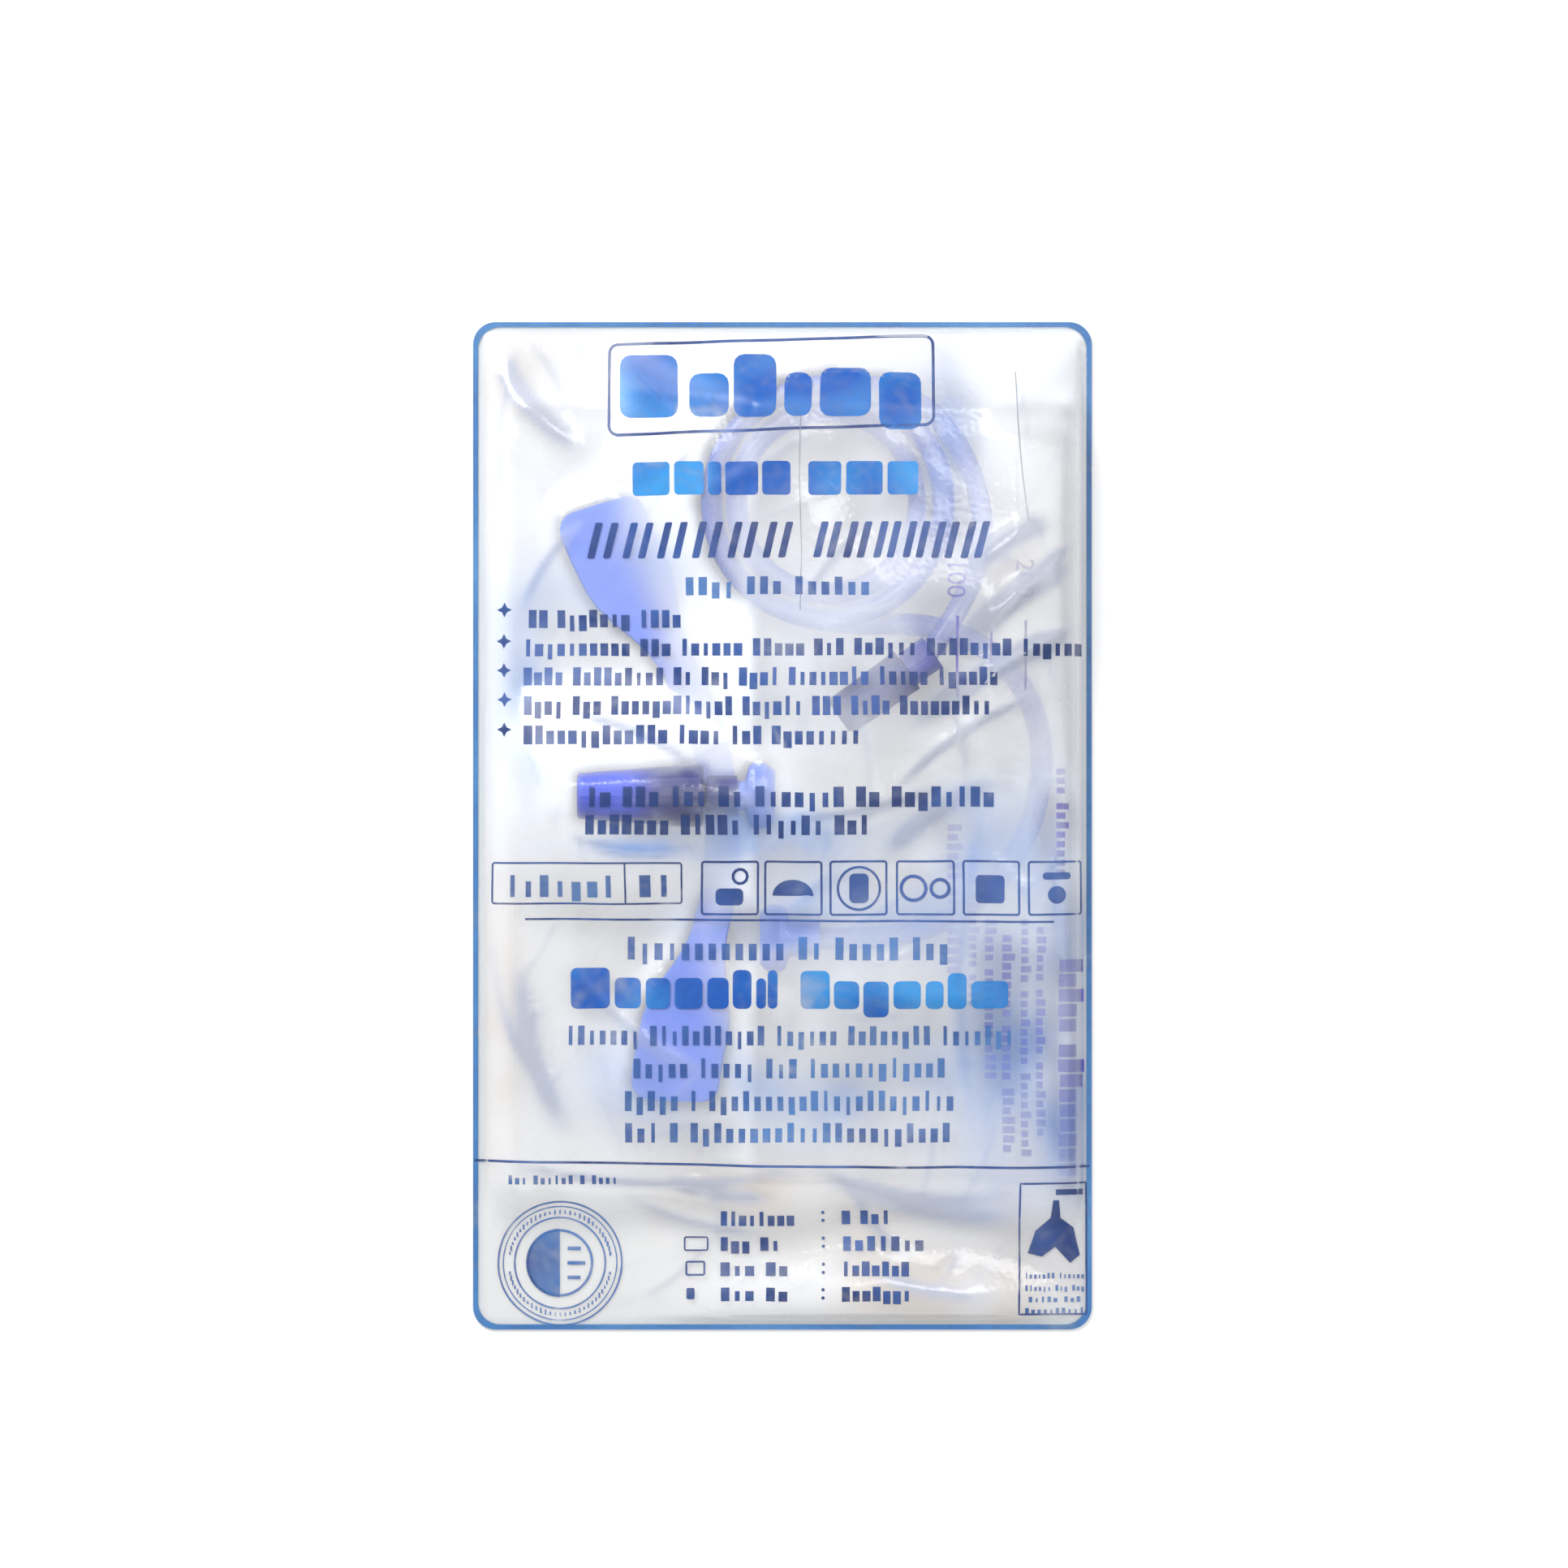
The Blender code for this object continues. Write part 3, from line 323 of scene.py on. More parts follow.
sealLook = plasticMaterial("sealRubber", (0.03, 0.03, 0.035), (0.02, 0.02, 0.02), roughness=0.55, coat=0.0)
frontFilmLook = filmMaterial("frontFilm", (0.975, 0.98, 0.995), (0.88, 0.92, 0.995),
                             clear=0.02, cloudy=0.8, scale=24.0)
backFilmLook = filmMaterial("backFilm", (0.95, 0.955, 0.965), (0.9, 0.91, 0.93), clear=0.3, cloudy=0.5, scale=26.0)
bagLook = plasticMaterial("bagSheet", (0.92, 0.95, 1.0), (0.8, 0.87, 1.0), scale=34.0, alpha=0.022, coat=0.0)
navyInk = inkMaterial("navyInk", (0.015, 0.04, 0.16), (0.04, 0.1, 0.32), cover=0.94)
blueInk = inkMaterial("blueInk", (0.008, 0.085, 0.38), (0.03, 0.25, 0.6), scale=32.0, cover=1.0)
thinInk = inkMaterial("thinInk", (0.025, 0.08, 0.27), (0.06, 0.18, 0.45), cover=0.86)
# grey lines along two folds of the film: painted shade, drawn with the ink shader
foldShadeLook = inkMaterial("paintedFoldShade", (0.22, 0.23, 0.27), (0.4, 0.42, 0.47), cover=0.7)
violetInk = inkMaterial("violetInk", (0.07, 0.06, 0.45), (0.2, 0.18, 0.64), cover=0.98)
edgeInk = inkMaterial("edgeInk", (0.04, 0.15, 0.38), (0.07, 0.21, 0.45), scale=25.0, cover=1.0)
print("materials ready")


# Heights of what lies in the pack, read from the frame itself
field = dict(step=1.25 * mm, under=0.12 * mm, air=0.45 * mm, slope=0.5, diagonal=1.41, falls=80, smooth=26,
             seal=4.2 * mm, rimTop=0.8 * mm, rimFlat=2.8 * mm, rimStart=3 * mm, rimSlope=1.3)
slides = dict(  # moving pieces and how far they slide, so that the film leaves them room
    drain_sleeve=Vector((-6.0, 0.0, 0.0)) * mm,
    connector_cap=Vector((-0.819152, -0.573576, 0.0)) * 9.0 * mm,
)
contentNodes = [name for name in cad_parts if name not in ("pack_front_film", "pack_back_film")]
hardNodes = [name for name in contentNodes if not name.startswith("bag_")]
cadTop = cadBox[1][2]
gridX, gridY = (np.linspace(low, high, round((high - low) / field["step"]) + 1)
                for low, high in ((packLow.x, packHigh.x), (packLow.y, packHigh.y)))


def treeOf(names):
    points, faces, start = [], [], 0
    for name in names:
        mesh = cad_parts[name].data
        points += [v.co.copy() for v in mesh.vertices]
        faces += [[start + i for i in p.vertices] for p in mesh.polygons]
        start += len(mesh.vertices)
    return BVHTree.FromPolygons(points, faces)


def highestAt(tree, x, y):  # what a straight look down from above the pack meets first
    return tree.ray_cast(Vector((x, y, cadTop + mm)), Vector((0, 0, -1)))[0]


def heightsUnder(tree, xs, ys, missing):
    hits = [[highestAt(tree, x, y) for y in ys] for x in xs]
    return np.array([[missing if hit is None else hit.z for hit in line] for line in hits])


contents = heightsUnder(treeOf(contentNodes), gridX, gridY, field["rimTop"] / 2)
hardTop = heightsUnder(treeOf(hardNodes), gridX, gridY, field["rimTop"] / 2)
room = contents.copy()
for name, reach in slides.items():
    tree = treeOf([name])
    for share in (0.25, 0.5, 0.75, 1.0):  # places on the way
        room = np.maximum(room, heightsUnder(tree, gridX - reach.x * share, gridY - reach.y * share, 0.0))


def shifted(heights, i, j):
    return np.roll(np.roll(heights, i, 0), j, 1)


def highestNear(heights):  # the highest of each place and its eight neighbours
    return np.max([shifted(heights, i, j) for i in (-1, 0, 1) for j in (-1, 0, 1)], axis=0)


def tent(heights):  # the film falls away from every high place with a steady slope
    result = heights.copy()
    fall = field["slope"] * field["step"]
    for _ in range(field["falls"]):
        before = result.copy()
        for i in (-1, 0, 1):
            for j in (-1, 0, 1):
                drop = fall * field["diagonal"] if i and j else fall
                if i or j:
                    result = np.maximum(result, shifted(before, i, j) - drop)
    return result


def relax(heights, floor, passes):
    result = heights.copy()
    for _ in range(passes):
        middle = (result[:-2, 1:-1] + result[2:, 1:-1] + result[1:-1, :-2] + result[1:-1, 2:]) / 4
        result[1:-1, 1:-1] = np.maximum(floor[1:-1, 1:-1], middle)
    return result


creaseData = dict(
    drawn=[  # pixels of the photo: start, end, height in mm, half width in mm
        (1345, 655, 1210, 790, 0.9, 1.6), (1340, 770, 1150, 885, 0.9, 1.8), (1290, 850, 1090, 985, 0.7, 1.5),
        (600, 440, 700, 545, 0.6, 1.4), (640, 420, 620, 640, 0.5, 1.3), (700, 470, 1190, 455, 0.35, 1.6),
        (850, 940, 700, 880, 0.6, 1.5), (700, 1030, 860, 1045, 0.7, 1.7), (930, 1010, 1180, 960, 0.6, 1.8),
        (600, 1120, 655, 1330, 0.6, 1.6), (1215, 980, 1200, 1400, 0.5, 2.2), (690, 1180, 880, 1330, 0.5, 1.6),
        (1000, 1440, 1250, 1475, 0.5, 1.7), (590, 1425, 1000, 1440, 0.6, 1.5), (760, 1470, 960, 1520, 0.5, 1.5),
        (1040, 1450, 1130, 1560, 0.5, 1.5), (1080, 640, 980, 760, 0.5, 1.7), (720, 640, 640, 760, 0.6, 1.6),
        (860, 610, 1010, 520, 0.4, 1.5), (1100, 1060, 960, 1130, 0.4, 1.6), (1300, 1010, 1335, 1240, 0.5, 1.6),
        (1345, 690, 1170, 800, 1.0, 3.2), (1345, 775, 1110, 905, 0.9, 3.0), (1300, 640, 1195, 705, 0.8, 2.6),
        (610, 430, 720, 560, 0.8, 2.8), (1230, 960, 1080, 1060, 0.8, 3.0), (640, 1180, 700, 1400, 0.8, 3.0),
        (1010, 1445, 1260, 1500, 0.8, 2.6), (820, 1450, 960, 1475, 0.7, 2.4), (1060, 1560, 1240, 1600, 0.6, 2.4),
    ],
    count=150, length=(8, 34), height=(0.08, 0.34), width=(0.6, 1.5), seed=11,
    turns=(35, 120), firstTurn=0.6, turnSpread=0.5, signs=(1, 1, -0.6), bend=0.06, end=0.25,
    fadeStart=3.2 * mm, fadeOver=7 * mm, dip=0.25 * mm, dipFrom=0.5, sink=0.3 * mm, swell=0.5 * mm, swellScale=38,
)


def creaseField(data):
    rng = random.Random(data["seed"])
    xs, ys = np.meshgrid(gridX, gridY, indexing="ij")
    total = np.zeros_like(xs)
    lines = [(*fromPixel(x0, y0), *fromPixel(x1, y1), height * mm, width * mm)
             for x0, y0, x1, y1, height, width in data["drawn"]]
    for _ in range(data["count"]):
        x, y = rng.uniform(packLow.x, packHigh.x), rng.uniform(packLow.y, packHigh.y)
        turn = rng.gauss(math.radians(data["turns"][rng.random() >= data["firstTurn"]]), data["turnSpread"])
        reach = rng.uniform(*data["length"]) * mm
        lines.append((x, y, x + reach * math.cos(turn), y + reach * math.sin(turn),
                      rng.uniform(*data["height"]) * mm * rng.choice(data["signs"]), rng.uniform(*data["width"]) * mm))
    for x0, y0, x1, y1, height, width in lines:
        reach = math.hypot(x1 - x0, y1 - y0)
        along = ((xs - x0) * (x1 - x0) + (ys - y0) * (y1 - y0)) / reach
        bend = reach * data["bend"] * np.sin(np.clip(along / reach, 0, 1) * math.pi)
        away = ((xs - x0) * (y1 - y0) - (ys - y0) * (x1 - x0)) / reach - bend
        ends = np.clip(along / (data["end"] * reach), 0, 1) * np.clip((reach - along) / (data["end"] * reach), 0, 1)
        total += height * ends * np.exp(-((away / width) ** 2))
    return total


def overGrid(value):  # one value for each place of the grid
    return np.array([[value(x, y) for y in gridY] for x in gridX])


distance = overGrid(lambda x, y: min(x - packLow.x, packHigh.x - x, y - packLow.y, packHigh.y - y))  # from the edge
floorField = np.where(distance > field["seal"], highestNear(room) + field["air"], field["rimTop"])
rimLimit = field["rimTop"] + np.maximum(distance - field["rimStart"], 0) * field["rimSlope"]
frontHeights = np.maximum(np.minimum(tent(floorField), rimLimit), floorField)
frontHeights = relax(frontHeights, floorField, field["smooth"])
swellAt = creaseData["swellScale"]
swell = overGrid(lambda x, y: noise.noise(Vector((x * swellAt, y * swellAt, 3.1)))) * creaseData["swell"]
creases = creaseField(creaseData)
fade = np.clip((distance - creaseData["fadeStart"]) / creaseData["fadeOver"], 0, 1)
lowest = floorField - creaseData["dip"] * (fade > creaseData["dipFrom"])
frontHeights = np.maximum(frontHeights + (creases + swell) * fade, lowest)
frontHeights = relax(frontHeights, floorField - creaseData["sink"], 1)
frontHeights = np.minimum(frontHeights, cadTop - field["under"])
frontHeights = np.where(distance < field["rimFlat"], field["rimTop"], frontHeights)
print("front film heights:", round(float(frontHeights.max()) / mm, 2), "mm")


# Films as open sheets on the grid, with rounded corners
def cornerCut(x, y, radius):
    halfX, halfY = packSize.x / 2 - radius, packSize.y / 2 - radius
    overX, overY = abs(x) - halfX, abs(y) - halfY
    away = math.hypot(overX, overY)
    if overX <= 0 or overY <= 0 or away <= radius:
        return x, y
    return math.copysign(halfX + overX / away * radius, x), math.copysign(halfY + overY / away * radius, y)


def addObject(name, points, faces, materials, smooth=True):
    mesh = bpy.data.meshes.new(name)
    mesh.from_pydata(points, [], faces)
    for material in materials:
        mesh.materials.append(material)
    mesh.polygons.foreach_set("use_smooth", [smooth] * len(faces))
    mesh.update()
    return linkPiece(name, mesh)


def setAttribute(piece, name, values):
    layer = piece.data.attributes.new(name, "FLOAT", "POINT")
    layer.data.foreach_set("value", np.array(values, dtype=np.float32))


def gridFaces(rows, columns):
    return [(i * columns + j, (i + 1) * columns + j, (i + 1) * columns + j + 1, i * columns + j + 1)
            for i in range(rows - 1) for j in range(columns - 1)]


filmData = dict(
    corner=6.0 * mm, touchReach=2.3 * mm, softPasses=3, bagShare=0.62, backTop=0.25 * mm, backNear=0.37,
    rimGlow=3.6 * mm, creaseFull=0.55 * mm, blotchMost=1.2, blotchScale=60,
    lean=dict(pressed=(0.84, 0.4), warm=(0.55, 0.8), cool=(0.55, 0.6)),  # how strong a patch is, how much it varies
    warm=[  # yellower places, in pixels of the photo: x, y, half width, half height
        (620, 1270, 40, 150), (1120, 1540, 170, 90), (1290, 720, 70, 60), (660, 480, 60, 70), (930, 1470, 120, 40),
        (1290, 1530, 60, 80), (1200, 1600, 130, 50),
    ],
    pressed=[  # places where the film lies on what is under it
        (1240, 1240, 105, 200), (1200, 770, 80, 60), (1090, 855, 120, 72), (850, 1000, 80, 50), (1300, 1010, 40, 70),
        (905, 1150, 60, 40), (1180, 560, 40, 110), (1080, 600, 130, 150), (1000, 1140, 90, 36), (1320, 1300, 30, 170),
    ],
    cool=[  # bluer places, where violet plastic and print scatter through the film; the last, a thin band under the outlet, is a painted shadow
        (960, 1030, 120, 34), (890, 1010, 60, 42), (1230, 1290, 90, 190), (1315, 1290, 45, 210),
        (800, 1320, 90, 60), (1010, 1130, 150, 44), (760, 700, 90, 60), (1170, 560, 34, 110), (650, 860, 40, 120),
        (1020, 1350, 150, 50), (1230, 1040, 70, 60), (800, 1046, 100, 16),
    ],
)


def blotches(x, y, label):
    total = 0.0
    for px, py, halfX, halfY in filmData[label]:
        cx, cy = fromPixel(px, py)
        total += math.exp(-(((x - cx) / (halfX * pixel)) ** 2) - ((y - cy) / (halfY * pixel)) ** 2)
    base, lean = filmData["lean"][label]
    scale = filmData["blotchScale"]
    return min(total, filmData["blotchMost"]) * (base + lean * noise.noise(Vector((x * scale, y * scale, 5.0))))


def nearTo(heights, below):  # 1 where the film lies on what is below it, less where it stands off
    return np.exp(-np.maximum(heights - below, 0) / filmData["touchReach"])


def makeFilm(name, heights, material, nearness, pressed=False):
    near = nearness
    for _ in range(filmData["softPasses"]):
        wide = np.pad(near, 1, mode="edge")
        near = (wide[2:, 1:-1] + wide[:-2, 1:-1] + wide[1:-1, 2:] + wide[1:-1, :-2] + near * 2) / 6
    points = [(*cornerCut(x, y, filmData["corner"]), heights[i, j])
              for i, x in enumerate(gridX) for j, y in enumerate(gridY)]
    film = addObject(name, points, gridFaces(len(gridX), len(gridY)), [material])
    patches = {label: np.array([blotches(x, y, label) for x, y, _ in points]) for label in filmData["lean"]}
    touch = np.maximum(near.ravel(), np.minimum(patches["pressed"], 1)) if pressed else near.ravel()
    # pale blue towards the edge: a painted glow along the rim
    rim = (1 - distance / filmData["rimGlow"]).ravel()
    # painted shade along every crease, stronger where the crease rises or sinks more
    crease = (np.abs(creases) / filmData["creaseFull"] * fade).ravel()
    for label, values in dict(touch=touch, warm=patches["warm"], cool=patches["cool"], rim=rim, crease=crease).items():
        setAttribute(film, label, np.clip(values, 0, 1))
    return film


nearHard, nearAny = (nearTo(frontHeights, highestNear(top) + field["air"]) for top in (hardTop, contents))
frontFilm = makeFilm("front_film_sheet", frontHeights, frontFilmLook,
                     np.maximum(nearHard, filmData["bagShare"] * nearAny), pressed=True)
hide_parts("pack_front_film")
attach(frontFilm, "pack")

backHeights = np.full_like(frontHeights, filmData["backTop"])
backFilm = makeFilm("back_film_sheet", backHeights, backFilmLook, np.full_like(backHeights, filmData["backNear"]))
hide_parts("pack_back_film")
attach(backFilm, "pack")
print("films:", len(frontFilm.data.polygons), "faces each")

# The bag's sheets and the tube, made finer from the frame's own pieces
def evaluated(piece):  # the piece's mesh with its modifiers worked in
    bpy.context.view_layer.update()
    return bpy.data.meshes.new_from_object(piece.evaluated_get(bpy.context.evaluated_depsgraph_get()))


def workIn(piece):
    mesh = evaluated(piece)
    piece.modifiers.clear()
    piece.data = mesh
    return mesh


def makeFiner(name, node, material, side, kind, other=None):
    shape = bmesh.new()
    shape.from_mesh(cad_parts[node].data)
    bmesh.ops.remove_doubles(shape, verts=shape.verts, dist=side["merge"])
    shape.normal_update()
    against = treeOf([other]) if other else BVHTree.FromBMesh(shape)
    facing = [face for face in shape.faces  # these look at a surface close by and can't be seen
              if against.ray_cast(face.calc_center_median() + face.normal * side["start"], face.normal,
                                  side["reach"])[0] is not None]
    bmesh.ops.delete(shape, geom=facing, context="FACES")
    if side["join"]:
        bmesh.ops.join_triangles(shape, faces=shape.faces, angle_face_threshold=side["join"],
                                 angle_shape_threshold=side["join"])
    mesh = bpy.data.meshes.new(name)
    shape.to_mesh(mesh)
    shape.free()
    mesh.materials.append(material)
    piece = linkPiece(name, mesh)
    finer = piece.modifiers.new("finer", "SUBSURF")
    finer.subdivision_type = kind
    finer.levels = finer.render_levels = side["levels"]
    mesh = workIn(piece)
    mesh.polygons.foreach_set("use_smooth", [True] * len(mesh.polygons))
    return piece


bagData = dict(merge=0.01 * mm, start=0.02 * mm, reach=1.6 * mm, join=0, levels=1, lowest=0.35 * mm,
               wave=0.35 * mm, waveScale=70.0, crease=0.22 * mm, creaseScale=110.0, sharp=6)
tubeData = dict(merge=0.005 * mm, start=0.05 * mm, reach=4.9 * mm, join=1.2, levels=2)  # reach is across the bore
for pieceName, node, other in (("bag_front_fine", "bag_front_sheet", "bag_back_sheet"),
                               ("bag_back_fine", "bag_back_sheet", "bag_front_sheet")):
    piece = makeFiner(pieceName, node, bagLook, bagData, "SIMPLE", other)
    for vertex in piece.data.vertices:
        place = vertex.co.copy()
        wave = noise.noise(place * bagData["waveScale"]) * bagData["wave"]
        ridge = (1 - abs(noise.noise(place * bagData["creaseScale"]))) ** bagData["sharp"] * bagData["crease"]
        vertex.co.z = max(place.z + wave - ridge, bagData["lowest"])
    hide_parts(node)
    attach(piece, "pack")
    print(pieceName, len(piece.data.polygons), "faces")

tube = makeFiner("inlet_tube_smooth", "inlet_tube", tubeLook, tubeData, "CATMULL_CLARK")
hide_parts("inlet_tube")
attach(tube, "pack")
print("tube:", len(tube.data.polygons), "faces")

# Moulded parts keep the frame's shapes and get their finish
finishes = {
    lavender: ["hanger", "hanger_lock_ring_upper", "hanger_lock_ring_lower", "inlet_port", "outlet_port"],
    violet: ["valve_body"],
    sleeveLook: ["drain_sleeve"],
    blueViolet: ["connector_cap"],
    connectorLook: ["catheter_connector"],
    sealLook: ["valve_seal_inner", "valve_seal_outer"],
    bagLook: ["non_return_sleeve"],
}
for material, names in finishes.items():
    for name in names:
        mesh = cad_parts[name].data
        mesh.materials.clear()
        mesh.materials.append(material)
        for polygon in mesh.polygons:
            polygon.material_index = 0
print("finishes set on the frame's parts")


# Print: blocks in rows, set out on the page in pixels of the photo and laid on the film
def makeBlockTree():
    tree = bpy.data.node_groups.new("printBlocks", "GeometryNodeTree")
    sockets = tree.interface
    sockets.new_socket("Geometry", in_out="INPUT", socket_type="NodeSocketGeometry")
    for label, kind, value in (("Width", "Float", 1.0), ("Height", "Float", 1.0), ("Least", "Float", 0.8),
                               ("Seed", "Int", 1), ("Rows", "Int", 3), ("Ink", "Material", None)):
        sockets.new_socket(label, in_out="INPUT", socket_type="NodeSocket" + kind).default_value = value
    sockets.new_socket("Geometry", in_out="OUTPUT", socket_type="NodeSocketGeometry")
    given, out = tree.nodes.new("NodeGroupInput").outputs, tree.nodes.new("NodeGroupOutput")
    block = addNode(tree, "GeometryNodeMeshGrid", {"Size X": 1.0, "Size Y": 1.0, "Vertices X": 3})
    wide, tall = (addNode(tree, "GeometryNodeInputNamedAttribute", {"Name": name}, data_type="FLOAT")
                  .outputs["Attribute"] for name in ("wide", "tall"))
    vary = addNode(tree, "FunctionNodeRandomValue", data_type="FLOAT")
    scale = addNode(tree, "ShaderNodeCombineXYZ", {"Z": 1.0})
    spots = tree.nodes.new("GeometryNodeInstanceOnPoints")
    real = tree.nodes.new("GeometryNodeRealizeInstances")
    inked = tree.nodes.new("GeometryNodeSetMaterial")
    wireAll(tree, {"Vertices Y": given["Rows"]}, block)
    wireAll(tree, {2: given["Least"], "Seed": given["Seed"]}, vary)
    width = mathNode(tree, "MULTIPLY", wide, given["Width"])
    wireAll(tree, {"X": mathNode(tree, "MULTIPLY", width, vary.outputs[1]),
                   "Y": mathNode(tree, "MULTIPLY", tall, given["Height"])}, scale)
    wireAll(tree, {"Points": given["Geometry"], "Instance": block.outputs["Mesh"], "Scale": scale.outputs[0]}, spots)
    wire(tree, spots.outputs[0], real.inputs[0])
    wireAll(tree, {"Geometry": real.outputs[0], "Material": given["Ink"]}, inked)
    wire(tree, inked.outputs[0], out.inputs[0])
    return tree


blockTree = makeBlockTree()
printData = dict(lift=0.11 * mm, wander=0.28 * mm, wanderScale=55, inset=0.1 * mm, wordGap=0.7, seed=5,
                 narrow=(1, 1, 1, 0.55), short=0.72, deep=0.7, drop=0.2)


def blocksFrom(name, blocks, **values):  # blocks: middle, width and height of each one
    piece = addObject(name, [(x, y, 0) for x, y, _, _ in blocks], [], [])
    setAttribute(piece, "wide", [wide for _, _, wide, _ in blocks])
    setAttribute(piece, "tall", [tall for _, _, _, tall in blocks])
    modifier = piece.modifiers.new("blocks", "NODES")
    modifier.node_group = blockTree
    values.update(Width=1.0, Height=1.0)
    for item in blockTree.interface.items_tree:
        if item.item_type == "SOCKET" and item.in_out == "INPUT" and item.name in values:
            modifier[item.identifier] = values[item.name]
    workIn(piece)
    return piece


def treeUnder(piece):
    mesh = piece.data
    return BVHTree.FromPolygons([v.co.copy() for v in mesh.vertices], [list(p.vertices) for p in mesh.polygons])


def layOn(piece, surface, wander):
    scale = printData["wanderScale"]
    for vertex in piece.data.vertices:
        x, y = vertex.co.x, vertex.co.y
        x += noise.noise(Vector((x * scale, y * scale, 1.0))) * wander
        y += noise.noise(Vector((x * scale, y * scale, 7.0))) * wander
        x = min(max(x, packLow.x + printData["inset"]), packHigh.x - printData["inset"])
        hit = highestAt(surface, x, y)
        vertex.co = (x, y, (hit.z if hit is not None else field["rimTop"]) + printData["lift"])
    piece.data.update()


def finishPrint(piece, surface, wander=printData["wander"]):
    layOn(piece, surface, wander)
    for polygon in piece.data.polygons:
        polygon.use_smooth = True
        if polygon.normal.z < 0:
            polygon.flip()
    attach(piece, "pack")
    return piece


rows = dict(
    bold=[  # left, right, top, base, letters of each word
        (650, 840, 752, 774, (2, 7, 4)), (645, 1335, 788, 809, (10, 3, 6, 5, 3, 6, 8, 6)),
        (645, 1229, 823, 845, (4, 9, 2, 3, 4, 8, 5, 6)), (645, 1220, 858, 881, (4, 3, 12, 6, 3, 4, 9)),
        (645, 1060, 894, 917, (13, 4, 3, 8)), (722, 1225, 969, 994, (2, 3, 3, 2, 7, 2, 8)),
        (720, 1072, 1004, 1028, (7, 5, 6, 3)), (886, 980, 1492, 1510, (8,)), (886, 962, 1524, 1541, (3, 2)),
        (886, 972, 1555, 1572, (3, 2)), (886, 972, 1586, 1603, (3, 2)), (1036, 1098, 1491, 1508, (1, 3)),
        (1036, 1140, 1523, 1541, (7,)), (1036, 1121, 1554, 1572, (7,)), (1036, 1123, 1585, 1603, (7,)),
    ],
    light=[
        (842, 1073, 712, 734, (4, 3, 6)), (770, 1170, 1154, 1182, (12, 2, 5, 3)),
        (697, 1250, 1263, 1287, (7, 11, 6, 8, 7)), (778, 1166, 1303, 1327, (5, 5, 3, 12)),
        (768, 1177, 1343, 1368, (5, 1, 22)), (768, 1173, 1383, 1407, (3, 1, 22)), (625, 762, 1447, 1458, (3, 6, 1, 4)),
        (1262, 1336, 1568, 1575, (7, 6)), (1262, 1336, 1583, 1590, (6, 3, 3)), (1266, 1332, 1597, 1604, (5, 3)),
        (1262, 1336, 1611, 1618, (10,)), (622, 760, 1078, 1105, (7,)), (784, 830, 1078, 1105, (2,)),
    ],
)


def lettersIn(start, end, words):  # each letter's start, its pitch and whether it opens a word
    pitch = (end - start) / (sum(words) + printData["wordGap"] * (len(words) - 1))
    at = start
    for letters in words:
        for letter in range(letters):
            yield at, pitch, letter == 0
            at += pitch
        at += printData["wordGap"] * pitch


def rowBlocks(table, slim):
    rng = random.Random(printData["seed"])
    blocks = []
    for left, right, top, base, words in table:
        height = base - top
        spans = dict(x=(base, base - printData["short"] * height), h=(base, top),
                     p=(base + printData["drop"] * height, base - printData["deep"] * height))
        for at, pitch, first in lettersIn(left, right, words):
            low, high = spans["h" if first else rng.choice("xxxxhhp")]
            wide = pitch * pixel * slim * rng.choice(printData["narrow"])
            blocks.append((*fromPixel(at + pitch / 2, (low + high) / 2), wide, (low - high) * pixel))
    return blocks


frontSurface = treeUnder(frontFilm)
for style, ink, slim in (("bold", navyInk, 0.8), ("light", thinInk, 0.64)):
    letters = blocksFrom(f"print_rows_{style}", rowBlocks(rows[style], slim),
                         Least=0.8, Seed=printData["seed"], Rows=4, Ink=ink)
    finishPrint(letters, frontSurface)
    print("print rows:", style, len(letters.data.polygons), "faces")


# Shapes of the print: bands, discs, rings and rounded tiles, gathered for each ink, in pixels of the photo
shapeData = dict(bandStep=6, tileStep=5, tileRing=8, ringFewest=10, ringShare=1.2, overCorner=2.01)


def divided(path, longest):  # points added where two lie far apart; the last point is left off
    fine = []
    for (x0, y0), (x1, y1) in zip(path, path[1:]):
        steps = max(1, round(math.hypot(x1 - x0, y1 - y0) / longest))
        fine += [(x0 + (x1 - x0) * s / steps, y0 + (y1 - y0) * s / steps) for s in range(steps)]
    return fine


def roundedOutline(x0, y0, x1, y1, corner, steps=6):
    path = []
    for cx, cy, turn in ((x1 - corner, y0 + corner, 0), (x0 + corner, y0 + corner, 90),
                         (x0 + corner, y1 - corner, 180), (x1 - corner, y1 - corner, 270)):
        for step in range(steps + 1):
            t = math.radians(turn + 90 / steps * step)
            path.append((cx + corner * math.cos(t), cy - corner * math.sin(t)))
    return path


def arc(x, y, radius, steps=28, squash=1.0, start=0, end=360):  # a full turn leaves its last point off
    turns = [math.radians(start + (end - start) * i / steps) for i in range(steps + (end - start < 360))]
    return [(x + radius * math.cos(t), y - radius * squash * math.sin(t)) for t in turns]


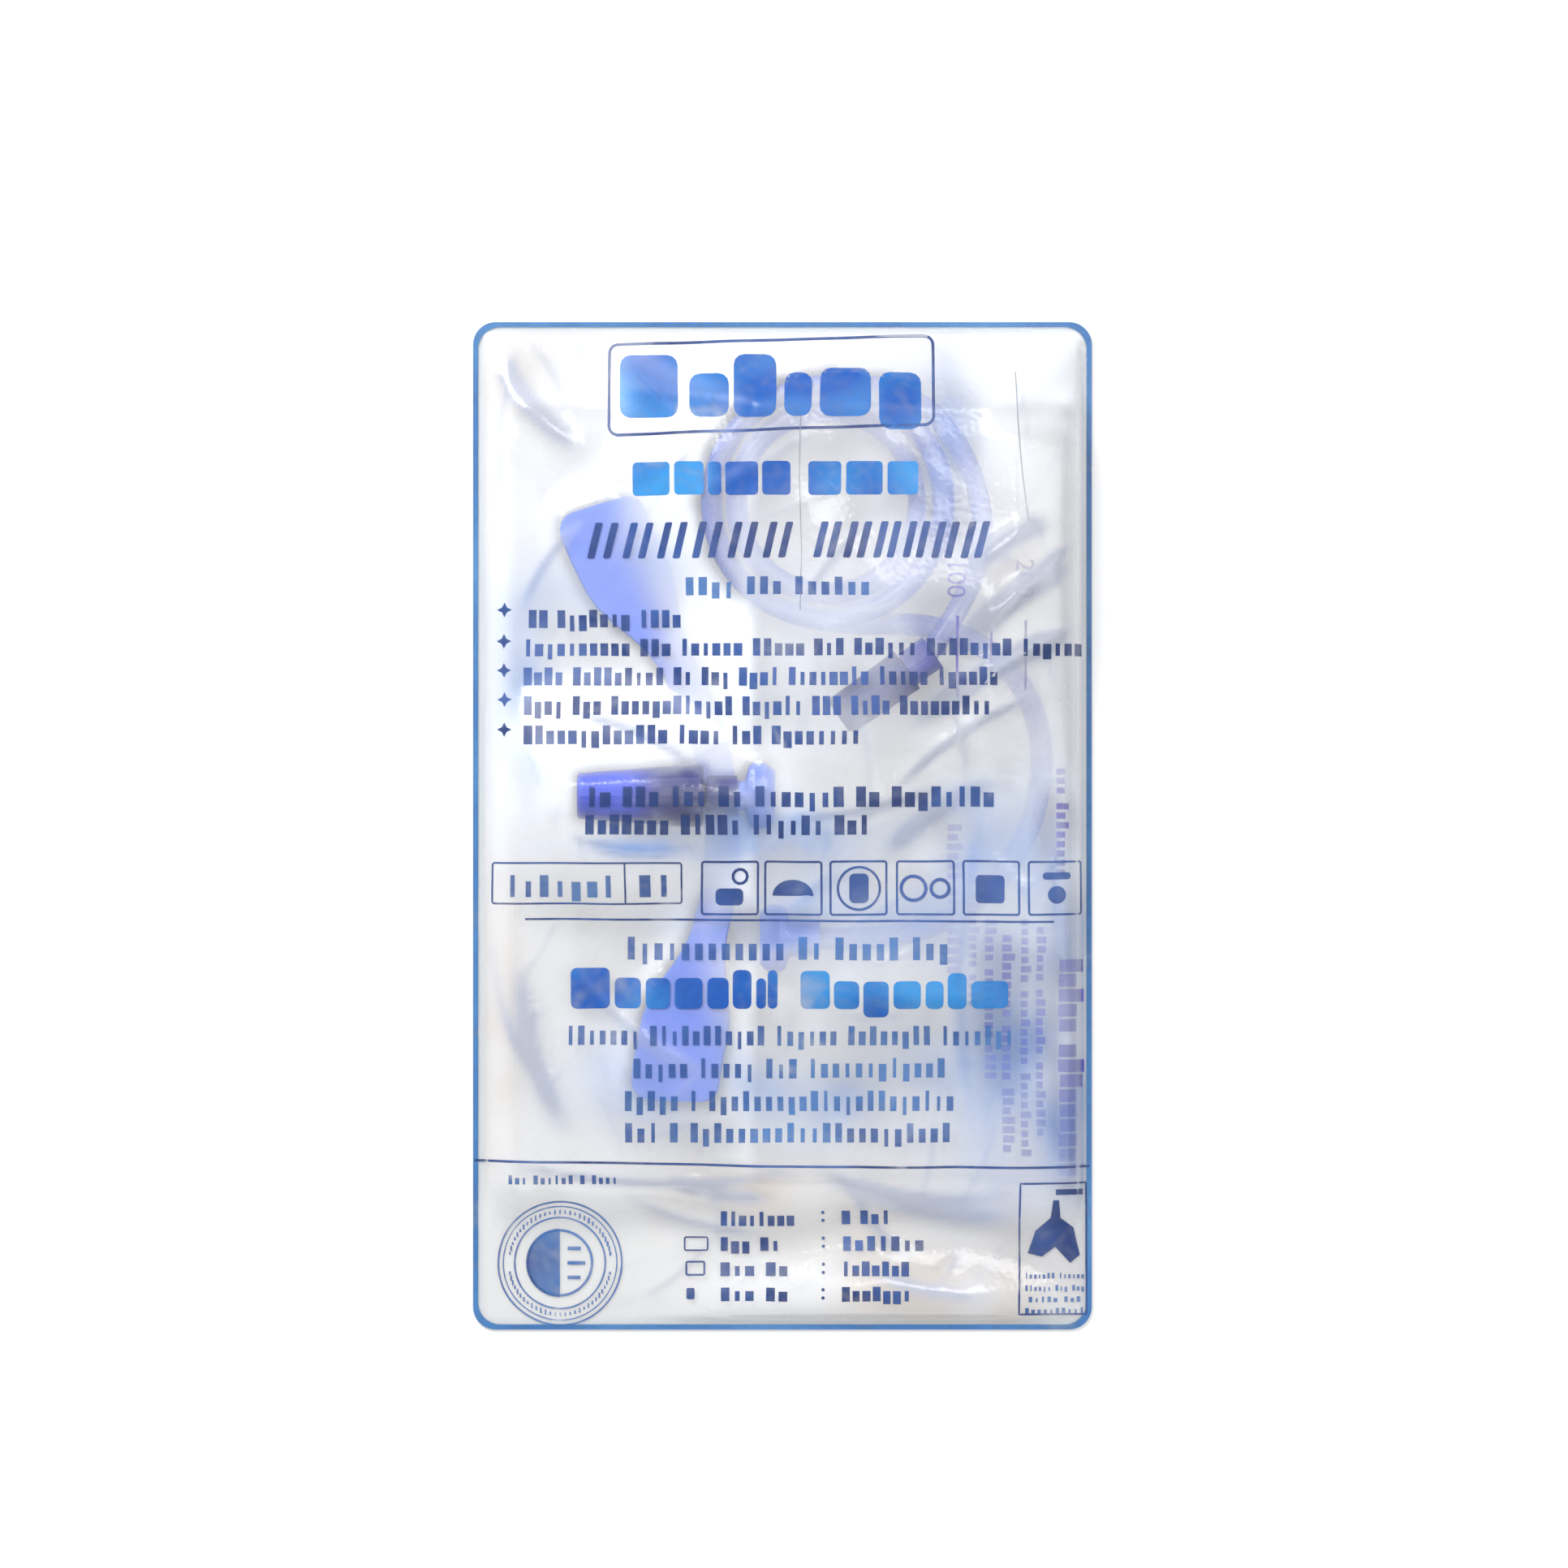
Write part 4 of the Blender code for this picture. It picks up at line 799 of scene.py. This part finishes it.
class Sheet:
    def __init__(self):
        self.points, self.faces = [], []

    def strip(self, path, width, closed=False):  # a band along a line of pixels, its width in pixels
        loop = path + path[:1] if closed else path
        fine = divided(loop, shapeData["bandStep"]) + ([] if closed else loop[-1:])
        count, first = len(fine), len(self.points)
        for i, (x, y) in enumerate(fine):
            before = fine[(i - 1) % count] if closed or i else fine[0]
            after = fine[(i + 1) % count] if closed or i < count - 1 else fine[-1]
            dx, dy = after[0] - before[0], after[1] - before[1]
            reach = math.hypot(dx, dy) or 1
            for side in (-0.5, 0.5):
                self.points.append((*fromPixel(x - dy / reach * width * side, y + dx / reach * width * side), 0))
        for i in range(count if closed else count - 1):
            a, b = first + 2 * i, first + 2 * ((i + 1) % count)
            self.faces.append((a, a + 1, b + 1, b))

    def ring(self, x, y, radius, width):
        steps = max(shapeData["ringFewest"], round(radius * shapeData["ringShare"]))
        self.strip(arc(x, y, radius, steps), width, closed=True)

    def fill(self, outline, rings=4):  # a filled shape, drawn in towards its middle
        cx, cy = (sum(values) / len(outline) for values in zip(*outline))
        first, count = len(self.points), len(outline)
        for r in range(rings):
            share = 1 - r / rings
            self.points += [(*fromPixel(cx + (x - cx) * share, cy + (y - cy) * share), 0) for x, y in outline]
        self.points.append((*fromPixel(cx, cy), 0))
        for r in range(rings - 1):
            for i in range(count):
                a, b = first + r * count, first + (r + 1) * count
                self.faces.append((a + i, a + (i + 1) % count, b + (i + 1) % count, b + i))
        last = first + (rings - 1) * count
        self.faces += [(last + i, last + (i + 1) % count, len(self.points) - 1) for i in range(count)]

    def tile(self, x0, y0, x1, y1, corner=4, slant=0.0, rings=5):  # a filled block with rounded corners
        wide, tall = x1 - x0, y1 - y0
        corner = min(corner, wide / shapeData["overCorner"], tall / shapeData["overCorner"])
        outline = roundedOutline(x0, y0, x1, y1, corner, 3)
        fine = divided(outline + outline[:1], shapeData["tileStep"])
        rings = max(rings, round(max(wide, tall) / shapeData["tileRing"]))
        self.fill([(x + (y1 - y) * slant, y) for x, y in fine], rings)

    def build(self, name, ink, surface=None):
        piece = addObject(name, self.points, self.faces, [ink])
        return finishPrint(piece, surface or frontSurface)


headings = dict(
    first=[(764, 438, 836, 516), (850, 462, 898, 516), (904, 438, 956, 516), (966, 462, 1000, 516),
           (1010, 456, 1072, 516), (1082, 462, 1134, 532)],
    second=[(780, 571, 826, 612), (832, 571, 868, 612), (873, 571, 889, 612), (894, 571, 934, 612),
            (939, 571, 974, 612), (996, 571, 1036, 612), (1042, 571, 1086, 612), (1092, 571, 1130, 612)],
    third=[(704, 1192, 752, 1242), (758, 1204, 790, 1242), (796, 1204, 826, 1242), (832, 1204, 866, 1242),
           (872, 1204, 898, 1242), (903, 1194, 926, 1242), (932, 1204, 944, 1242), (946, 1194, 958, 1242),
           (986, 1196, 1022, 1242), (1027, 1208, 1058, 1242), (1063, 1208, 1094, 1252), (1100, 1208, 1134, 1242),
           (1140, 1208, 1162, 1242), (1167, 1198, 1190, 1242), (1196, 1208, 1242, 1242)],
)
slanted = dict(groups=[(722, 980, 6), (1000, 1216, 6)], indent=2, pair=0.45, top=645, base=689, wide=9, slant=0.24)
wave = dict(height=4, start=740, length=95, middle=950, lean=60)  # the heading's frame follows the film
frames = [  # path, width, closed
    ([(x, y + wave["height"] * math.sin((x - wave["start"]) / wave["length"]) - (x - wave["middle"]) / wave["lean"])
      for x, y in roundedOutline(751, 421, 1149, 533, 11)], 3.6, True),
    ([(648, 1132), (1297, 1135)], 2.6, False),
    ([(585, 1430), (760, 1432), (960, 1436), (1150, 1438), (1343, 1437)], 3.0, False),
    (roundedOutline(607, 1063, 840, 1113, 3), 2.2, True),
    ([(771, 1064), (771, 1112)], 2.2, False),
    *[(roundedOutline(left, 1061, min(left + 69, 1331), 1126, 3), 2.6, True)
      for left in (865, 943, 1023, 1105, 1186, 1267)],
    ([(1256, 1457), (1338, 1457), (1338, 1619), (1256, 1619)], 2.4, True),
]
folds = [  # thin sharp folds of the film, each drawn as a grey line of painted shade
    ([(1249, 460), (1253, 520), (1258, 585), (1265, 645)], 1.6, False),
    ([(987, 513), (985, 590), (988, 680), (986, 753)], 1.2, False),
]


def addHeadings():
    blue = Sheet()
    for label, corner, rings in (("first", 13, 7), ("second", 5, 5), ("third", 7, 5)):
        for box in headings[label]:
            blue.tile(*box, corner, rings=rings)
    blue.build("print_blue_tiles", blueInk)
    slate = Sheet()
    for left, right, count in slanted["groups"]:
        pitch = (right - left) / count
        for i in range(count):
            at = left + pitch * i + slanted["indent"]
            for start in (at, at + pitch * slanted["pair"]):
                slate.tile(start, slanted["top"], start + slanted["wide"], slanted["base"], 2, slanted["slant"], 3)
    slate.build("print_slanted_bars", navyInk)


def addLines(name, paths, ink):
    lines = Sheet()
    for path, width, closed in paths:
        lines.strip(path, width, closed)
    lines.build(name, ink)


def addSigns():
    signs = Sheet()
    signs.ring(912, 1079, 9, 3.6)
    signs.tile(882, 1094, 916, 1115, 6, rings=3)
    signs.fill(arc(977, 1103, 25, squash=0.8, end=180), 5)
    signs.ring(1058, 1094, 26, 3)
    signs.tile(1046, 1076, 1070, 1112, 6, rings=3)
    signs.ring(1125, 1094, 15, 4.2)
    signs.ring(1157, 1094, 11, 4.2)
    signs.tile(1201, 1078, 1237, 1112, 5, rings=4)
    signs.tile(1284, 1074, 1318, 1083, 4, rings=3)
    signs.fill(arc(1301, 1102, 11), 3)
    for y in (752, 790, 826, 862, 899):  # four-pointed list marks
        signs.fill([(622, y - 9), (625, y - 3), (631, y), (625, y + 3), (622, y + 9), (619, y + 3), (613, y),
                    (619, y - 3)], 3)
    for y in (1497, 1529, 1561, 1592):  # pairs of dots
        for low in (-4, 6):
            signs.fill(arc(1014, y + low, 2.2, steps=8), 2)
    signs.strip(roundedOutline(844, 1524, 872, 1540, 2), 2, closed=True)
    signs.strip(roundedOutline(846, 1554, 868, 1570, 2), 2.4, closed=True)
    signs.tile(846, 1586, 856, 1600, 2, rings=2)
    signs.fill([(1297, 1478), (1304, 1478), (1306, 1500), (1322, 1512), (1330, 1546), (1318, 1556), (1300, 1536),
                (1284, 1548), (1266, 1544), (1276, 1516), (1294, 1500)], 5)
    signs.strip([(1300, 1468), (1334, 1468)], 7)
    signs.build("print_signs", navyInk)


seal = dict(x=690, y=1556, rings=[(76, 2.4), (70, 1.6), (56, 2.2)], half=42, inner=(40, 3.2), barWidth=4.6,
            bars=[(700, 716, 1538), (700, 722, 1556), (700, 716, 1574)], ticks=64, tickRadius=63, tickWide=2.6,
            tickTall=(3.6, 7), gap=0.985)  # gap: no ticks at the left and right


def addSeal():
    x, y = seal["x"], seal["y"]
    sheet = Sheet()
    for radius, width in seal["rings"]:
        sheet.ring(x, y, radius, width)
    sheet.fill(arc(x, y, seal["half"], start=90, end=270), 5)
    sheet.ring(x, y, *seal["inner"])
    for left, right, down in seal["bars"]:
        sheet.strip([(left, down), (right, down)], seal["barWidth"])
    sheet.build("print_seal", thinInk)
    rng = random.Random(printData["seed"])
    blocks = []
    for i in range(seal["ticks"]):  # short ticks between two of the rings
        turn = 2 * math.pi * i / seal["ticks"]
        if abs(math.cos(turn)) <= seal["gap"]:
            place = fromPixel(x + seal["tickRadius"] * math.cos(turn), y - seal["tickRadius"] * math.sin(turn))
            blocks.append((*place, seal["tickWide"] * pixel, rng.uniform(*seal["tickTall"]) * pixel))
    ticks = blocksFrom("print_seal_ticks", blocks, Least=0.7, Seed=4, Rows=3, Ink=thinInk)
    finishPrint(ticks, frontSurface)


addHeadings()
addLines("print_frames", frames, navyInk)
addLines("film_fold_shade_lines", folds, foldShadeLook)
addSigns()
addSeal()
print("print laid on the front film")


# Edge of the pack: the printed line round the seal, from film to film
edgeData = dict(width=1.35 * mm, low=0.08 * mm, lift=0.1 * mm, steps=10, longest=2.5 * mm)


def addEdge():
    halfX, halfY = packSize.x / 2, packSize.y / 2
    path = [(x, -y) for x, y in roundedOutline(-halfX, -halfY, halfX, halfY, filmData["corner"], edgeData["steps"])]
    outer = divided(path + path[:1], edgeData["longest"])
    shareX, shareY = (1 - 2 * edgeData["width"] / size for size in (packSize.x, packSize.y))
    inner = [(x * shareX, y * shareY) for x, y in outer]
    top = field["rimTop"] + edgeData["lift"]
    rings = [(inner, edgeData["low"]), (outer, edgeData["low"]), (outer, top), (inner, top)]
    points = [(x, y, z) for line, z in rings for x, y in line]
    count = len(outer)
    faces = [(r * count + i, r * count + (i + 1) % count, (r + 1) * count + (i + 1) % count, (r + 1) * count + i)
             for r in range(3) for i in range(count)]
    edge = addObject("seal_edge_band", points, faces, [edgeInk], smooth=False)
    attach(edge, "pack")


addEdge()

# The bag's own print, seen through the film: rows turned a quarter, tops to the right, and a plain scale
bagPrint = dict(
    rows=[  # base side and top side across, start and end down, words, how full
        (1166, 1186, 1014, 1200, (6, 9), 0.7), (1192, 1206, 1040, 1240, (5, 9, 4), 0.7),
        (1212, 1228, 1130, 1330, (5, 8, 4), 0.7), (1234, 1250, 1150, 1420, (9, 6, 7), 0.74),
        (1257, 1270, 1130, 1425, (7, 8, 9), 0.7), (1300, 1316, 945, 1080, (3, 8), 0.66),
        (1303, 1336, 1180, 1450, (5, 9), 0.84), (1276, 1288, 1140, 1400, (6, 7, 8), 0.74),
    ],
    ticks=[(1178, 760, 860), (1220, 778, 842), (1262, 765, 850)],
    numbers=[("100", 1178), ("200", 1262)],
    heights=(0.72, 0.72, 1.0), wander=0.2 * mm, numberTop=690, numberTall=24, fontShare=1.35, tickWidth=3.2,
)


def addBagPrint():
    top = treeUnder(bpy.data.objects["bag_front_fine"])
    rng = random.Random(printData["seed"])
    blocks = []
    for base, high, start, end, words, slim in bagPrint["rows"]:
        for at, pitch, _ in lettersIn(start, end, words):
            reach = (high - base) * rng.choice(bagPrint["heights"])
            blocks.append((*fromPixel(base + reach / 2, at + pitch / 2), reach * pixel, pitch * pixel * slim))
    letters = blocksFrom("bag_print_rows", blocks, Least=0.85, Seed=8, Rows=3, Ink=violetInk)
    finishPrint(letters, top, bagPrint["wander"])
    scale = Sheet()
    for x, y0, y1 in bagPrint["ticks"]:
        scale.strip([(x, y0), (x, y1)], bagPrint["tickWidth"])
    ticks = scale.build("bag_scale_ticks", violetInk, top)
    print("bag print:", len(letters.data.polygons), "blocks' faces,", len(ticks.data.polygons), "tick faces")
    tall = bagPrint["numberTall"]
    for index, (words, x) in enumerate(bagPrint["numbers"]):
        curve = bpy.data.curves.new("scale_number", "FONT")
        curve.body = words
        curve.size = tall * pixel * bagPrint["fontShare"]
        source = linkPiece("scale_number", curve)
        mesh = evaluated(source)
        bpy.data.objects.remove(source)
        left, down = fromPixel(x + tall / 2, bagPrint["numberTop"])
        for vertex in mesh.vertices:  # a quarter turn: the foot of each number towards the outlet
            vertex.co = (left - tall * pixel + vertex.co.y, down - vertex.co.x, 0)
        mesh.materials.clear()
        mesh.materials.append(violetInk)
        finishPrint(linkPiece(f"bag_scale_number_{index + 1}", mesh), top, wander=0.0)


addBagPrint()

# Floor and light
stageData = dict(size=3.0, albedo=0.9, fill=0.28, shade=0.66, world=0.42)
lamps = dict(  # place, width and height, power, colour
    key=((-0.55, 0.75, 0.95), (0.5, 0.9), 18.5, (1, 1, 1)),
    fill=((0.9, -0.1, 1.1), (0.9, 0.9), 4.4, (0.96, 0.98, 1.0)),
    top=((0.2, 0.32, 1.3), (0.3, 0.3), 2.2, (1, 1, 1)),
    low=((0.1, -1.1, 0.6), (1.2, 0.3), 1.9, (1, 1, 1)),
)


def makeFloor():
    half = stageData["size"] / 2
    corners = [(-half, -half, 0), (half, -half, 0), (half, half, 0), (-half, half, 0)]
    material = bpy.data.materials.new("paleFloor")
    material.use_nodes = True
    tree = material.node_tree
    tree.nodes.clear()
    out = tree.nodes.new("ShaderNodeOutputMaterial")
    lit, dim = (addNode(tree, "ShaderNodeBsdfDiffuse", {"Color": (tone, tone, tone, 1.0)}).outputs[0]
                for tone in (stageData["albedo"], stageData["shade"]))
    bright = addNode(tree, "ShaderNodeEmission", {"Color": (1.0, 1.0, 1.0, 1.0), "Strength": stageData["fill"]})
    seen = addNode(tree, "ShaderNodeLightPath")
    anySeen = 0.0
    for ray in ("Is Camera Ray", "Is Glossy Ray", "Is Transmission Ray"):
        anySeen = mathNode(tree, "ADD", anySeen, seen.outputs[ray], clamp=True)
    both = tree.nodes.new("ShaderNodeAddShader")
    wireAll(tree, {0: dim, 1: bright.outputs[0]}, both)
    wire(tree, mixShaders(tree, anySeen, lit, both.outputs[0]), out.inputs["Surface"])
    floor = addObject("floor", corners, [(0, 1, 2, 3)], [material], smooth=False)


makeFloor()
for name, (place, size, power, color) in lamps.items():
    data = bpy.data.lights.new(name, "AREA")
    data.shape = "RECTANGLE"
    data.size, data.size_y = size
    data.energy = power
    data.color = color
    lamp = linkPiece(name, data)
    lamp.location = place
    lamp.rotation_euler = (-Vector(place)).to_track_quat("-Z", "Y").to_euler()  # towards the pack's middle
world = bpy.data.worlds.new("studio")
bpy.context.scene.world = world
world.use_nodes = True
world.node_tree.nodes["Background"].inputs["Color"].default_value = (1, 1, 1, 1)
world.node_tree.nodes["Background"].inputs["Strength"].default_value = stageData["world"]
bpy.context.scene.cycles.transparent_max_bounces = 20  # many see-through layers lie on each other
bpy.context.scene.view_settings.view_transform = "Standard"
